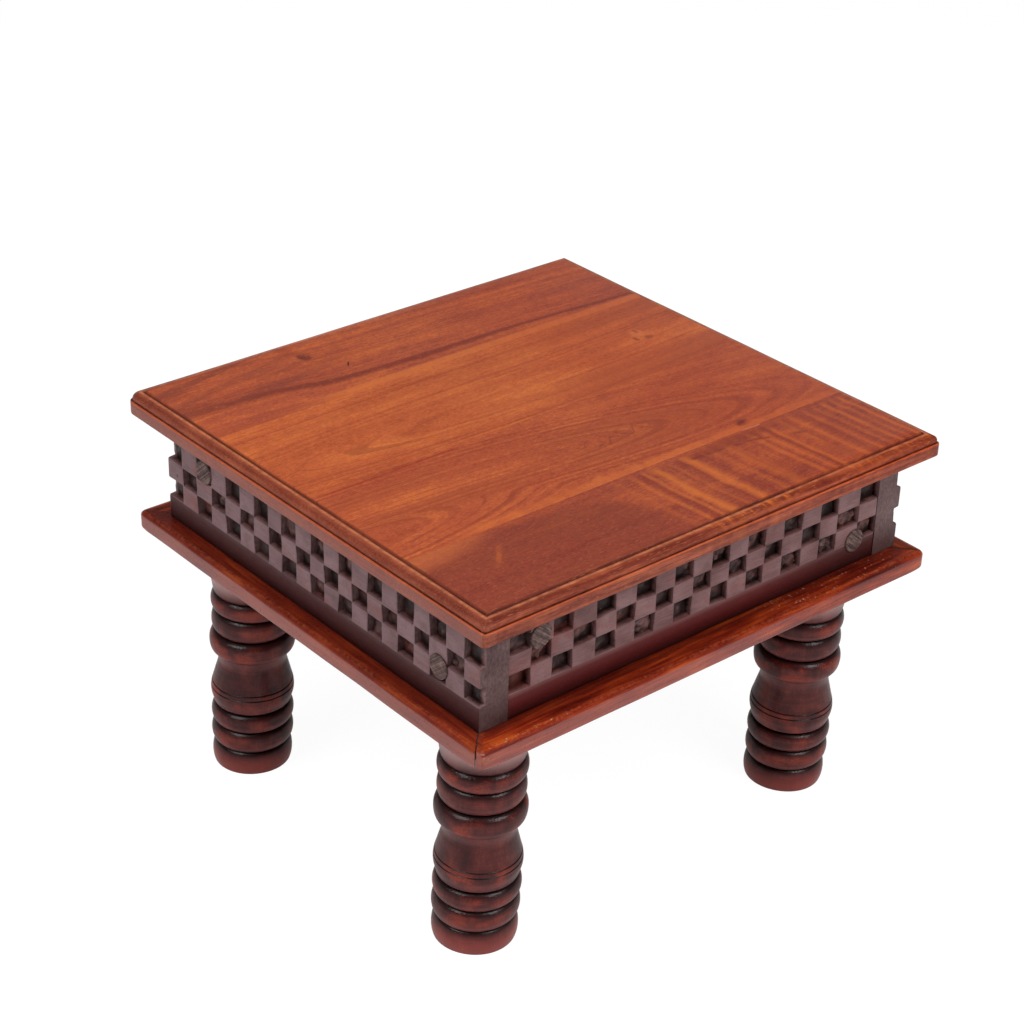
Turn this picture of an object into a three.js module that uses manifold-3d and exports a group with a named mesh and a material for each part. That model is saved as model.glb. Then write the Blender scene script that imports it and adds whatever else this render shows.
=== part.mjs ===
// A bajot: a low table of dark hardwood. Four turned legs carry a frame of mitred rails, a box of
// four aprons carved with a chequer stands on the frame, and a top of four glued boards closes it.
// Millimetres, +Z up. The origin is on the floor under the middle of the top. X runs along the
// boards of the top, Y across them, and the front is the side that faces -Y. The pieces are drawn
// about the middle of the box of aprons, and the whole table is moved so that the origin lies
// under the middle of the top.

import * as THREE from 'three';
import * as BufferGeometryUtils from 'three/addons/utils/BufferGeometryUtils.js';
import Module from 'manifold-3d';

const wasm = await Module();
wasm.setup();

// Overall sizes
const tableHeight = 278;
const topLength = 390;
const topWidth = 375;
const fitGap = 0.3;
const overrun = 2;

// Top: a flat field inside a quirk, then a bead, a narrow ledge and a plain fascia. The bead stays
// below the field, and the quirk goes below the bead. The top was glued on a little behind the
// middle of the box, and its back left corner is worn rounder than the others.
const topShift = 5;
const topThickness = 16.5;
const topBoardShares = [0.2203, 0.2573, 0.2653, 0.2571];
const fasciaHeight = 9;
const ledgeWidth = 1.6;
const beadWidth = 6.6;
const beadDrop = 1.5;
const quirkWidth = 1.8;
const quirkDepth = 0.7;
const topCornerRadius = 4;
const wornCornerRadius = 8.5;
const cornerSteps = 3;
const beadSteps = 5;

// Rail frame, which lies a little behind the middle of the box. The legs are placed from it.
const frameShift = 1.8;
const sideRailSetback = 0.5;
const frontRailSetback = 3.9;
const railThickness = 13;
const railRoundWidth = 4.5;
const railRoundHeight = 3;
const railRoundSteps = 3;

// Aprons
const apronHeight = 72;
const apronThickness = 22.5;
const longApronSetback = 13;
const shortApronSetback = 23.6;

// Chequer carving. Rows are listed from the bottom, as shares of the apron's height. The columns
// were cut by eye: they are listed from the front or from the left, as shares of an average one.
const plainStripShare = 0.235;
const rowHeightShares = [0.195, 0.185, 0.225];
const longColumnShares = [
  0.91, 1.06, 1.03, 0.95, 1.04, 0.95, 0.95, 1, 0.9, 0.93, 0.93,
  0.97, 1, 0.93, 1.03, 1, 1.07, 1.05, 1.1, 1.1, 1.1,
];
const shortColumnShares = [
  1, 1, 0.98, 1.09, 0.99, 0.95, 1, 0.93, 0.95, 0.95,
  0.95, 0.94, 0.94, 0.99, 1.05, 1, 1, 1.21, 1.07,
];
const pocketDepth = 5;
const pocketLand = 0.6;

// Legs. Each stands in from the outer faces of the rails and leans: its foot is a little to the
// left, its head a little to the right. A square post rises from its head in the corner of the
// box. The members of the turning go from the floor up. Their heights are shares of the turned
// height, their girths and the creases between them are shares of legRadius.
const legRadius = 30;
const legSides = 20;
const legInsetX = 51.8;
const legInsetY = 59;
const footShift = -3.4;
const headShift = 1.6;
const postSize = 38;
const postSinkShare = 0.04;
const creaseShare = 0.833;
const footShares = { from: 0, to: 0.096, girth: 0.937 };
const lowBeadShares = [
  { from: 0.096, to: 0.187, girth: 0.959 },
  { from: 0.187, to: 0.269, girth: 0.961 },
];
const vaseShares = [
  [0.893, 0.279],
  [0.925, 0.296],
  [0.964, 0.324],
  [0.958, 0.353],
  [0.913, 0.382],
  [0.87, 0.41],
  [0.823, 0.439],
  [0.793, 0.464],
  [0.827, 0.49],
  [0.873, 0.511],
];
const wideBeadShares = { from: 0.521, widest: 0.562, to: 0.605, lip: 0.933, girth: 1 };
const highBeadShares = [
  { from: 0.605, to: 0.698, girth: 0.953 },
  { from: 0.698, to: 0.78, girth: 0.97 },
];
const collarShares = [
  [0.9, 0.785],
  [0.972, 0.85],
  [1.075, 0.925],
  [1.163, 1],
];
const turnedBeadSteps = 4;
const footStartAngle = -Math.PI / 4;

// Pegs through the aprons into the leg posts, one low and one high at each corner. Each is set in
// from the corner of the box and stands at a share of the apron's height.
const pegRadius = 8.2;
const pegSides = 16;
const pegProud = 1.4;
const pegChamfer = 0.7;
const pegDepthInPost = 26;
const lowLongPeg = { inset: 36.9, heightShare: 0.39 };
const highLongPeg = { inset: 44.4, heightShare: 0.73 };
const lowShortPeg = { inset: 43.2, heightShare: 0.26 };
const highShortPeg = { inset: 46.3, heightShare: 0.7 };

// Nails and mitre pins
const nailRadius = 1.3;
const nailSides = 8;
const nailTip = 3;
const apronNailGrip = 25;
const apronNailHeightShare = 0.5;
const railNailGrip = 22;
const railNailPlaceShare = 0.5;
const battenNailGrip = 16;
const mitrePinRadius = 3;
const mitrePinLength = 26;
const mitrePinInset = 3.8;
const mitrePinProud = 0.2;
const mitrePinHeightShare = 0.54;

// Battens across the boards of the top, and their countersunk screws
const battenWidth = 24;
const battenThickness = 18;
const battenPlaceShare = 0.47;
const screwRadius = 1.9;
const screwHeadRadius = 3.8;
const screwHeadHeight = 2.4;
const screwGrip = 9;
const screwTip = 3;

// Levels, from the top down
const topUnderside = tableHeight - topThickness;
const apronTop = topUnderside - fitGap;
const apronBottom = apronTop - apronHeight;
const railTop = apronBottom - fitGap;
const railBottom = railTop - railThickness;
const legShoulder = railBottom - fitGap;

// Half sizes and places in plan
const halfTopLength = topLength / 2;
const halfTopWidth = topWidth / 2;
const topFront = topShift - halfTopWidth;
const topBack = topShift + halfTopWidth;
const frameX = halfTopLength - sideRailSetback;
const frameY = halfTopWidth - frontRailSetback;
const apronX = halfTopLength - longApronSetback;
const apronY = halfTopWidth - shortApronSetback;
const insideX = apronX - apronThickness;
const insideY = apronY - apronThickness;
const railInsideY = insideY + frameShift;
const legX = frameX - legInsetX;
const legY = frameY - legInsetY;
const battenX = insideX * battenPlaceShare;
const battenEnd = insideY - fitGap;

// Corners in order round the table, seen from above, starting at the front left
const corners = [
  { name: 'front_left', sideX: -1, sideY: -1 },
  { name: 'front_right', sideX: 1, sideY: -1 },
  { name: 'back_right', sideX: 1, sideY: 1 },
  { name: 'back_left', sideX: -1, sideY: 1 },
];
const longSides = [
  { name: 'left', sideX: -1 },
  { name: 'right', sideX: 1 },
];
const shortSides = [
  { name: 'front', sideY: -1 },
  { name: 'back', sideY: 1 },
];
const nameOfX = (sideX) => (sideX < 0 ? 'left' : 'right');
const nameOfY = (sideY) => (sideY < 0 ? 'front' : 'back');

// Materials
const wood = (color, roughness) => new THREE.MeshStandardMaterial({ color, roughness, metalness: 0 });
const boardWoods = [
  wood('#97462f', 0.35),
  wood('#a8502f', 0.35),
  wood('#b05a33', 0.35),
  wood('#9e4a30', 0.35),
];
const apronWood = wood('#6d4a48', 0.45);
const railWood = wood('#7c2a18', 0.3);
const legWood = wood('#69312d', 0.3);
const pegWood = wood('#806a64', 0.6);
const pinWood = wood('#a05c40', 0.5);
const battenWood = wood('#8a5a3c', 0.7);
const nailSteel = new THREE.MeshStandardMaterial({ color: '#5c5754', roughness: 0.5, metalness: 0.9 });
const screwSteel = new THREE.MeshStandardMaterial({ color: '#a59a80', roughness: 0.4, metalness: 0.9 });

const table = new THREE.Group();
table.position.y = -topShift;

// Solids and meshes

function solidOf(geometry, matrix = new THREE.Matrix4()) {
  const bare = geometry.clone().applyMatrix4(matrix);
  bare.deleteAttribute('normal');
  bare.deleteAttribute('uv');
  const merged = BufferGeometryUtils.mergeVertices(bare);
  return new wasm.Manifold(new wasm.Mesh({
    numProp: 3,
    vertProperties: merged.attributes.position.array,
    triVerts: new Uint32Array(merged.index.array),
  }));
}

function geometryOf(solid) {
  const { vertProperties, triVerts } = solid.getMesh();
  const geometry = new THREE.BufferGeometry();
  geometry.setAttribute('position', new THREE.BufferAttribute(vertProperties, 3));
  geometry.setIndex(new THREE.BufferAttribute(triVerts, 1));
  geometry.computeVertexNormals();
  return geometry;
}

function addMesh(name, geometry, material) {
  const mesh = new THREE.Mesh(geometry, material);
  mesh.name = name;
  table.add(mesh);
  return mesh;
}

function boxBetween(low, high) {
  const size = high.map((value, axis) => value - low[axis]);
  const middle = high.map((value, axis) => (value + low[axis]) / 2);
  return solidOf(new THREE.BoxGeometry(...size).translate(...middle));
}

// An outline of [x, y] points, extruded from one height to another
function prism(outline, bottom, top) {
  const shape = new THREE.Shape(outline.map(([x, y]) => new THREE.Vector2(x, y)));
  const geometry = new THREE.ExtrudeGeometry(shape, { depth: top - bottom, bevelEnabled: false });
  return solidOf(geometry.translate(0, 0, bottom));
}

// A profile of [radius, height] points, turned about Z
function turned(profile, sides) {
  const points = profile.map(([radius, height]) => new THREE.Vector2(radius, height));
  return new THREE.LatheGeometry(points, sides).rotateX(Math.PI / 2);
}

// Fasteners. Each starts at the outer end of its head and points along its direction.

const fasteners = [];

function pegProfile(radius, length) {
  return [
    [0, 0],
    [radius - pegChamfer, 0],
    [radius, pegChamfer],
    [radius, length - pegChamfer],
    [radius - pegChamfer, length],
    [0, length],
  ];
}

function nailProfile(radius, length) {
  return [
    [0, 0],
    [radius, 0],
    [radius, length - nailTip],
    [0, length],
  ];
}

function screwProfile(headRadius, radius, length) {
  return [
    [0, 0],
    [headRadius, 0],
    [radius, screwHeadHeight],
    [radius, length - screwTip],
    [0, length],
  ];
}

// The hole for a fastener: its profile, wider and deeper by the fit gap, carried on out of the face
function boreProfile(profile) {
  const wider = profile.slice(1).map(([radius, height]) => [
    radius > 0 ? radius + fitGap : 0,
    height > 0 ? height + fitGap : 0,
  ]);
  return [[0, -overrun], [wider[0][0], -overrun], ...wider];
}

function addFastener(name, profile, sides, material, start, direction, passes) {
  const mesh = addMesh(name, turned(profile, sides), material);
  mesh.position.set(...start);
  const towards = new THREE.Vector3(...direction);
  mesh.quaternion.setFromUnitVectors(new THREE.Vector3(0, 0, 1), towards);
  mesh.updateMatrix();
  const bore = solidOf(turned(boreProfile(profile), sides), mesh.matrix);
  fasteners.push({ bore, passes });
}

function bored(name, solid) {
  const holes = fasteners.filter(({ passes }) => passes.includes(name));
  return holes.reduce((rest, { bore }) => rest.subtract(bore), solid);
}

function addTimber(name, solid, material) {
  addMesh(name, geometryOf(bored(name, solid)), material);
}

// Pegs: the corners take turns, so that each side has its high peg at one end, low at the other
const pegLength = pegProud + apronThickness + fitGap + pegDepthInPost;
const pegHeight = ({ heightShare }) => apronBottom + apronHeight * heightShare;
corners.forEach(({ name, sideX, sideY }, turn) => {
  const isLowOnLongSide = turn % 2 === 0;
  const longPeg = isLowOnLongSide ? lowLongPeg : highLongPeg;
  const shortPeg = isLowOnLongSide ? highShortPeg : lowShortPeg;
  const profile = pegProfile(pegRadius, pegLength);
  const longStart = [
    sideX * (apronX + pegProud),
    sideY * (apronY - longPeg.inset),
    pegHeight(longPeg),
  ];
  const shortStart = [
    sideX * (apronX - shortPeg.inset),
    sideY * (apronY + pegProud),
    pegHeight(shortPeg),
  ];
  const longName = nameOfX(sideX);
  const shortName = nameOfY(sideY);
  addFastener(`peg_${name}_in_${longName}_apron`, profile, pegSides, pegWood, longStart,
    [-sideX, 0, 0], [`apron_${longName}`, `leg_${name}`]);
  addFastener(`peg_${name}_in_${shortName}_apron`, profile, pegSides, pegWood, shortStart,
    [0, -sideY, 0], [`apron_${shortName}`, `leg_${name}`]);
});

// One nail at each back corner, through the long apron into the end of the short one
const apronNailLength = apronThickness + fitGap + apronNailGrip;
for (const { name, sideX, sideY } of corners.filter((corner) => corner.sideY > 0)) {
  const start = [
    sideX * apronX,
    sideY * (apronY - apronThickness / 2),
    apronBottom + apronHeight * apronNailHeightShare,
  ];
  addFastener(`apron_nail_${name}`, nailProfile(nailRadius, apronNailLength), nailSides, nailSteel,
    start, [-sideX, 0, 0], [`apron_${nameOfX(sideX)}`, `apron_${nameOfY(sideY)}`]);
}

// Two nails up through each rail into the apron above it
const railNailLength = railThickness + fitGap + railNailGrip;
for (const { name, sideX, sideY } of corners) {
  const profile = nailProfile(nailRadius, railNailLength);
  const longName = nameOfX(sideX);
  const shortName = nameOfY(sideY);
  const longStart = [
    sideX * (apronX - apronThickness / 2),
    sideY * apronY * railNailPlaceShare,
    railBottom,
  ];
  const shortStart = [
    sideX * apronX * railNailPlaceShare,
    sideY * (apronY - apronThickness / 2),
    railBottom,
  ];
  addFastener(`rail_nail_${name}_in_${longName}`, profile, nailSides, nailSteel, longStart,
    [0, 0, 1], [`rail_${longName}`, `apron_${longName}`]);
  addFastener(`rail_nail_${name}_in_${shortName}`, profile, nailSides, nailSteel, shortStart,
    [0, 0, 1], [`rail_${shortName}`, `apron_${shortName}`]);
}

// A wooden pin across each mitre, driven from the short rails on the left, from the long rail on
// the right
const mitrePinHeight = railBottom + railThickness * mitrePinHeightShare;
for (const { name, sideX, sideY } of corners) {
  const isFromShortRail = sideX < 0;
  const alongX = isFromShortRail ? frameX - mitrePinInset : frameX + mitrePinProud;
  const alongY = isFromShortRail ? frameY + mitrePinProud : frameY - mitrePinInset;
  const start = [sideX * alongX, frameShift + sideY * alongY, mitrePinHeight];
  const direction = isFromShortRail ? [0, -sideY, 0] : [-sideX, 0, 0];
  addFastener(`mitre_pin_${name}`, nailProfile(mitrePinRadius, mitrePinLength), nailSides, pinWood,
    start, direction, [`rail_${nameOfX(sideX)}`, `rail_${nameOfY(sideY)}`]);
}

// The front and back edges of each board of the top, from the front board to the back one
const boardNames = ['front', 'front_middle', 'back_middle', 'back'];
const boardEdges = topBoardShares.reduce(
  (edges, share) => [...edges, edges[edges.length - 1] + share * topWidth],
  [topFront],
);

// Screws up through each batten, one into each board, and nails into the batten's ends
const screwLength = battenThickness + fitGap + screwGrip;
const battenBottom = apronTop - battenThickness;
for (const { name, sideX } of longSides) {
  boardNames.forEach((boardName, board) => {
    const from = Math.max(boardEdges[board], -battenEnd);
    const to = Math.min(boardEdges[board + 1], battenEnd);
    const start = [sideX * battenX, (from + to) / 2, battenBottom];
    addFastener(`batten_screw_${name}_${board + 1}`,
      screwProfile(screwHeadRadius, screwRadius, screwLength), nailSides, screwSteel, start,
      [0, 0, 1], [`batten_${name}`, `top_board_${boardName}`]);
  });
  for (const { name: endName, sideY } of shortSides) {
    const start = [
      sideX * (battenX + battenWidth / 4),
      sideY * apronY,
      battenBottom + battenThickness / 2,
    ];
    addFastener(`batten_nail_${name}_${endName}`,
      nailProfile(nailRadius, apronThickness + fitGap + battenNailGrip), nailSides, nailSteel,
      start, [0, -sideY, 0], [`batten_${name}`, `apron_${endName}`]);
  }
}

// Top

// The corners of the top, anticlockwise from the back right one
const topCorners = [
  { sideX: 1, sideY: 1, radius: topCornerRadius },
  { sideX: -1, sideY: 1, radius: wornCornerRadius },
  { sideX: -1, sideY: -1, radius: topCornerRadius },
  { sideX: 1, sideY: -1, radius: topCornerRadius },
];

// The outline of the top at one height, set in from its edge, anticlockwise from above
function roundedRing(inset, height) {
  const halfX = halfTopLength - inset;
  const halfY = halfTopWidth - inset;
  const ring = [];
  topCorners.forEach((corner, quarter) => {
    const radius = Math.max(corner.radius - inset, corner.radius / 4);
    for (let step = 0; step <= cornerSteps; step += 1) {
      const angle = (quarter + step / cornerSteps) * Math.PI / 2;
      ring.push([
        corner.sideX * (halfX - radius) + radius * Math.cos(angle),
        topShift + corner.sideY * (halfY - radius) + radius * Math.sin(angle),
        height,
      ]);
    }
  });
  return ring;
}

// A closed body through rings of equally many points, from the bottom one to the top one
function throughRings(rings) {
  const count = rings[0].length;
  const faces = [];
  for (let level = 0; level < rings.length - 1; level += 1) {
    for (let i = 0; i < count; i += 1) {
      const next = (i + 1) % count;
      const low = level * count;
      const high = low + count;
      faces.push(low + i, low + next, high + next, low + i, high + next, high + i);
    }
  }
  const last = (rings.length - 1) * count;
  for (let i = 1; i < count - 1; i += 1) {
    faces.push(0, i + 1, i);
    faces.push(last, last + i, last + i + 1);
  }
  const geometry = new THREE.BufferGeometry();
  geometry.setAttribute('position', new THREE.Float32BufferAttribute(rings.flat(2), 3));
  geometry.setIndex(faces);
  return solidOf(geometry);
}

// The edge moulding as [distance in from the edge, height] points, from the underside to the field
function topEdgeProfile() {
  const fasciaTop = topUnderside + fasciaHeight;
  const beadTop = tableHeight - beadDrop;
  const profile = [[0, topUnderside], [0, fasciaTop]];
  for (let step = 0; step <= beadSteps; step += 1) {
    const angle = (1 - step / beadSteps) * Math.PI / 2;
    profile.push([
      ledgeWidth + beadWidth * (1 - Math.sin(angle)),
      fasciaTop + (beadTop - fasciaTop) * Math.cos(angle),
    ]);
  }
  const quirkStart = ledgeWidth + beadWidth;
  profile.push([quirkStart + quirkWidth / 2, beadTop - quirkDepth]);
  profile.push([quirkStart + quirkWidth, tableHeight]);
  return profile;
}

const topSolid = throughRings(topEdgeProfile().map(([inset, height]) => roundedRing(inset, height)));

boardNames.forEach((boardName, board) => {
  const isFirst = board === 0;
  const isLast = board === boardNames.length - 1;
  const from = isFirst ? topFront - overrun : boardEdges[board] + fitGap / 2;
  const to = isLast ? topBack + overrun : boardEdges[board + 1] - fitGap / 2;
  const slice = boxBetween(
    [-halfTopLength - overrun, from, topUnderside - overrun],
    [halfTopLength + overrun, to, tableHeight + overrun],
  );
  addTimber(`top_board_${boardName}`, topSolid.intersect(slice), boardWoods[board]);
});

// Battens
for (const { name, sideX } of longSides) {
  const middle = sideX * battenX;
  const solid = boxBetween(
    [middle - battenWidth / 2, -battenEnd, battenBottom],
    [middle + battenWidth / 2, battenEnd, apronTop],
  );
  addTimber(`batten_${name}`, solid, battenWood);
}

// Aprons

// The [bottom, top] heights of the rows of carving
const rows = [];
let rowBottom = apronBottom + apronHeight * plainStripShare;
for (const share of rowHeightShares) {
  const rowTop = rowBottom + apronHeight * share;
  rows.push([rowBottom, rowTop]);
  rowBottom = rowTop;
}

// The edges of the columns along a board that reaches from -half to half
function columnEdges(shares, half) {
  const average = 2 * half / shares.reduce((sum, share) => sum + share);
  return shares.reduce(
    (edges, share) => [...edges, edges[edges.length - 1] + share * average],
    [-half],
  );
}

// Cuts every other cell of a board's outer face. The face lies at distance outer from the middle
// of the table, and makeBox turns [along, outwards, up] ranges into a box.
function carved(board, columnShares, half, outer, makeBox) {
  const edges = columnEdges(columnShares, half);
  const columns = columnShares.length;
  let rest = board;
  for (let column = 0; column < columns; column += 1) {
    const isFirst = column === 0;
    const isLast = column === columns - 1;
    const from = edges[column] + (isFirst ? -overrun : pocketLand / 2);
    const to = edges[column + 1] + (isLast ? overrun : -pocketLand / 2);
    rows.forEach(([bottom, top], row) => {
      if ((column + row) % 2 === 0) {
        rest = rest.subtract(makeBox(
          [from, to],
          [outer - pocketDepth, outer + overrun],
          [bottom + pocketLand / 2, top - pocketLand / 2],
        ));
      }
    });
  }
  return rest;
}

const sorted = (a, b) => [Math.min(a, b), Math.max(a, b)];

for (const { name, sideX } of longSides) {
  const makeBox = (along, outwards, up) => {
    const [x0, x1] = sorted(sideX * outwards[0], sideX * outwards[1]);
    return boxBetween([x0, along[0], up[0]], [x1, along[1], up[1]]);
  };
  const board = makeBox([-apronY, apronY], [insideX, apronX], [apronBottom, apronTop]);
  addTimber(`apron_${name}`, carved(board, longColumnShares, apronY, apronX, makeBox), apronWood);
}

for (const { name, sideY } of shortSides) {
  const makeBox = (along, outwards, up) => {
    const [y0, y1] = sorted(sideY * outwards[0], sideY * outwards[1]);
    return boxBetween([along[0], y0, up[0]], [along[1], y1, up[1]]);
  };
  const end = insideX - fitGap;
  const board = makeBox([-end, end], [insideY, apronY], [apronBottom, apronTop]);
  addTimber(`apron_${name}`, carved(board, shortColumnShares, end, apronY, makeBox), apronWood);
}

// Rails, mitred from the outer corner of the frame to its inner corner

// The rail's section as [distance in from the outer face, height] points
function railProfile(width) {
  const profile = [[width, 0], [0, 0]];
  for (let step = 0; step <= railRoundSteps; step += 1) {
    const angle = step / railRoundSteps * Math.PI / 2;
    profile.push([
      railRoundWidth * (1 - Math.cos(angle)),
      railThickness - railRoundHeight * (1 - Math.sin(angle)),
    ]);
  }
  profile.push([width, railThickness]);
  return profile;
}

// A straight length of rail along X with its outer face at y = -outer
function railLength(half, outer, width) {
  const shape = new THREE.Shape(
    railProfile(width).map(([inset, height]) => new THREE.Vector2(inset, height)),
  );
  const geometry = new THREE.ExtrudeGeometry(shape, { depth: 2 * half, bevelEnabled: false });
  const basis = new THREE.Matrix4().makeBasis(
    new THREE.Vector3(0, 1, 0),
    new THREE.Vector3(0, 0, 1),
    new THREE.Vector3(1, 0, 0),
  );
  return solidOf(geometry.applyMatrix4(basis).translate(-half, -outer, railBottom));
}

// The wedge that a mitre takes off the end of that rail, on the side given
function mitreWedge(side, half, outer, innerHalf, innerOuter) {
  const run = half - innerHalf;
  const rise = outer - innerOuter;
  const slant = Math.hypot(run, rise);
  const shift = fitGap / 2 * slant / rise;
  const reach = overrun / rise;
  const outerPoint = [half - shift + run * reach, -outer - rise * reach];
  const innerPoint = [innerHalf - shift - run * reach, -innerOuter + rise * reach];
  const far = half + run;
  const outline = [outerPoint, [far, outerPoint[1]], [far, innerPoint[1]], innerPoint];
  const mirrored = outline.map(([x, y]) => [side * x, y]);
  const bottom = railBottom - overrun;
  return prism(side > 0 ? mirrored : mirrored.reverse(), bottom, railTop + overrun);
}

function railSolid(half, outer, innerHalf, innerOuter) {
  let rail = railLength(half, outer, outer - innerOuter);
  for (const side of [-1, 1]) {
    rail = rail.subtract(mitreWedge(side, half, outer, innerHalf, innerOuter));
  }
  return rail;
}

const quarterTurn = new THREE.Matrix4().makeRotationZ(Math.PI / 2);

function turnedAboutZ(solid, quarters) {
  let geometry = geometryOf(solid);
  for (let quarter = 0; quarter < quarters; quarter += 1) {
    geometry = geometry.applyMatrix4(quarterTurn);
  }
  return solidOf(geometry);
}

// The frame's opening is wide enough for the posts, which stand in the corners of the box
const shortRail = railSolid(frameX, frameY, insideX, railInsideY);
const longRail = railSolid(frameY, frameX, railInsideY, insideX);
['front', 'right', 'back', 'left'].forEach((name, quarters) => {
  const rail = turnedAboutZ(quarters % 2 === 0 ? shortRail : longRail, quarters);
  addTimber(`rail_${name}`, rail.translate([0, frameShift, 0]), railWood);
});

// Legs

// A bead: half an ellipse from the crease below it to the crease above it
function beadShares({ from, to, girth }, startAngle = -Math.PI / 2) {
  const points = [];
  const low = Math.sin(startAngle);
  for (let step = 0; step <= turnedBeadSteps; step += 1) {
    const angle = startAngle + step / turnedBeadSteps * (Math.PI / 2 - startAngle);
    const rise = (Math.sin(angle) - low) / (1 - low);
    points.push([
      creaseShare + (girth - creaseShare) * Math.cos(angle),
      from + (to - from) * rise,
    ]);
  }
  return points;
}

// The wide bead over the vase: from its lip out to its girth, and in to the crease above it
function wideBead({ from, widest, to, lip, girth }) {
  const low = [];
  const high = [];
  for (let step = 0; step <= turnedBeadSteps; step += 1) {
    const angle = step / turnedBeadSteps * Math.PI / 2;
    const across = Math.sin(angle);
    const down = Math.cos(angle);
    low.push([lip + (girth - lip) * across, from + (widest - from) * (1 - down)]);
    high.push([creaseShare + (girth - creaseShare) * down, widest + (to - widest) * across]);
  }
  return [...low, ...high.slice(1)];
}

function turnedPart() {
  const shares = [
    ...beadShares(footShares, footStartAngle),
    ...lowBeadShares.flatMap((bead) => beadShares(bead).slice(1)),
    ...vaseShares,
    ...wideBead(wideBeadShares),
    ...highBeadShares.flatMap((bead) => beadShares(bead).slice(1)),
    ...collarShares,
  ];
  const outside = shares.map(([girth, height]) => [girth * legRadius, height * legShoulder]);
  const lean = new THREE.Matrix4().makeShear(0, 0, 0, 0, (headShift - footShift) / legShoulder, 0);
  const stand = new THREE.Matrix4().makeTranslation(footShift, 0, 0).multiply(lean);
  return solidOf(turned([[0, 0], ...outside, [0, legShoulder]], legSides), stand);
}

// The square post of a leg, which fills the corner of the box and goes a little into the head
function post(sideX, sideY) {
  const outerX = insideX - fitGap;
  const outerY = insideY - fitGap;
  const [x0, x1] = sorted(sideX * outerX, sideX * (outerX - postSize));
  const [y0, y1] = sorted(sideY * outerY, sideY * (outerY - postSize));
  const bottom = legShoulder * (1 - postSinkShare);
  return boxBetween([x0, y0, bottom], [x1, y1, apronTop]);
}

const turning = turnedPart();
for (const { name, sideX, sideY } of corners) {
  const leg = turning.translate([sideX * legX, frameShift + sideY * legY, 0]);
  addTimber(`leg_${name}`, leg.add(post(sideX, sideY)), legWood);
}

export default table;
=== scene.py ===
"""Dresses a bajot, a low table of dark varnished hardwood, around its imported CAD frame.

Four turned legs carry mitred rails, carved and pegged aprons, and a top of four glued boards.
Metres, +Z up. X runs along the boards of the top, and the front is the side that faces -Y.
"""
import math
import random
from bisect import bisect_right
from functools import reduce

import bmesh
import bpy
from mathutils import Matrix, Vector, noise


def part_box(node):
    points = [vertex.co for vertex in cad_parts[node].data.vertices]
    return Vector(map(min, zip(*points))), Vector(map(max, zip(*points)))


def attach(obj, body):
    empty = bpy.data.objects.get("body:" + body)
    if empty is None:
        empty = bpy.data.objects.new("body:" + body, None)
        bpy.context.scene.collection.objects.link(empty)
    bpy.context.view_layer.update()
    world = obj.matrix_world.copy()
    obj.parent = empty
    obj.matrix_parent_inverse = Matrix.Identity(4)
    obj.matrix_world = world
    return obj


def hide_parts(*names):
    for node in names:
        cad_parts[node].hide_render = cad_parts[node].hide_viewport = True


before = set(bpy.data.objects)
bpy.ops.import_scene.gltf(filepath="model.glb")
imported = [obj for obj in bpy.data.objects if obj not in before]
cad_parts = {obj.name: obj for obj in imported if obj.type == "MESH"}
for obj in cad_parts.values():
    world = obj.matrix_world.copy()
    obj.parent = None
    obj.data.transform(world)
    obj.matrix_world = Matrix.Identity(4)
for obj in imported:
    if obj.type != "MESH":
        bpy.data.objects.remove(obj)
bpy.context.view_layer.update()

# Camera, found from the edges of the table in the photograph
IMAGE_WIDTH = 1024
CAMERA_AZIMUTH_DEGREES = -40.875
CAMERA_ELEVATION_DEGREES = 29.157
CAMERA_ROLL_DEGREES = 1.726
CAMERA_DISTANCE = 1.6143
CAMERA_FOCAL_PIXELS = 2354.4
CAMERA_AIM = Vector((0, -0.0015, 0.15))
CAMERA_SLIDE_RIGHT = -0.0168
CAMERA_SLIDE_UP = 0.0461
CAMERA_CENTRE_PIXELS = (-10.4, -1.1)
SENSOR_WIDTH_MM = 36


def direction_of(azimuth, elevation):
    """The direction at these degrees. The azimuth is 0 in front of the table and rises towards +X."""
    turn, rise = math.radians(azimuth), math.radians(elevation)
    return Vector((
        math.sin(turn) * math.cos(rise),
        -math.cos(turn) * math.cos(rise),
        math.sin(rise),
    ))


def put_in_scene(name, data):
    thing = bpy.data.objects.new(name, data)
    bpy.context.scene.collection.objects.link(thing)
    return thing


def add_camera():
    back = direction_of(CAMERA_AZIMUTH_DEGREES, CAMERA_ELEVATION_DEGREES)
    turn, roll = math.radians(CAMERA_AZIMUTH_DEGREES), math.radians(CAMERA_ROLL_DEGREES)
    level_right = Vector((math.cos(turn), math.sin(turn), 0))
    level_up = back.cross(level_right)
    right = level_right * math.cos(roll) + level_up * math.sin(roll)
    up = back.cross(right)
    place = CAMERA_AIM + back * CAMERA_DISTANCE
    place += right * CAMERA_SLIDE_RIGHT + up * CAMERA_SLIDE_UP
    data = bpy.data.cameras.new("camera")
    data.sensor_width = SENSOR_WIDTH_MM
    data.lens = CAMERA_FOCAL_PIXELS / IMAGE_WIDTH * SENSOR_WIDTH_MM
    data.shift_x = -CAMERA_CENTRE_PIXELS[0] / IMAGE_WIDTH
    data.shift_y = CAMERA_CENTRE_PIXELS[1] / IMAGE_WIDTH
    camera = put_in_scene("camera", data)
    camera.matrix_world = Matrix.Translation(place) @ Matrix((right, up, back)).transposed().to_4x4()
    bpy.context.scene.camera = camera


# Sizes that the frame gives
def box_of(*nodes):
    boxes = [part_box(node) for node in nodes]
    low = Vector([min(box[0][axis] for box in boxes) for axis in range(3)])
    high = Vector([max(box[1][axis] for box in boxes) for axis in range(3)])
    return low, high


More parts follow.
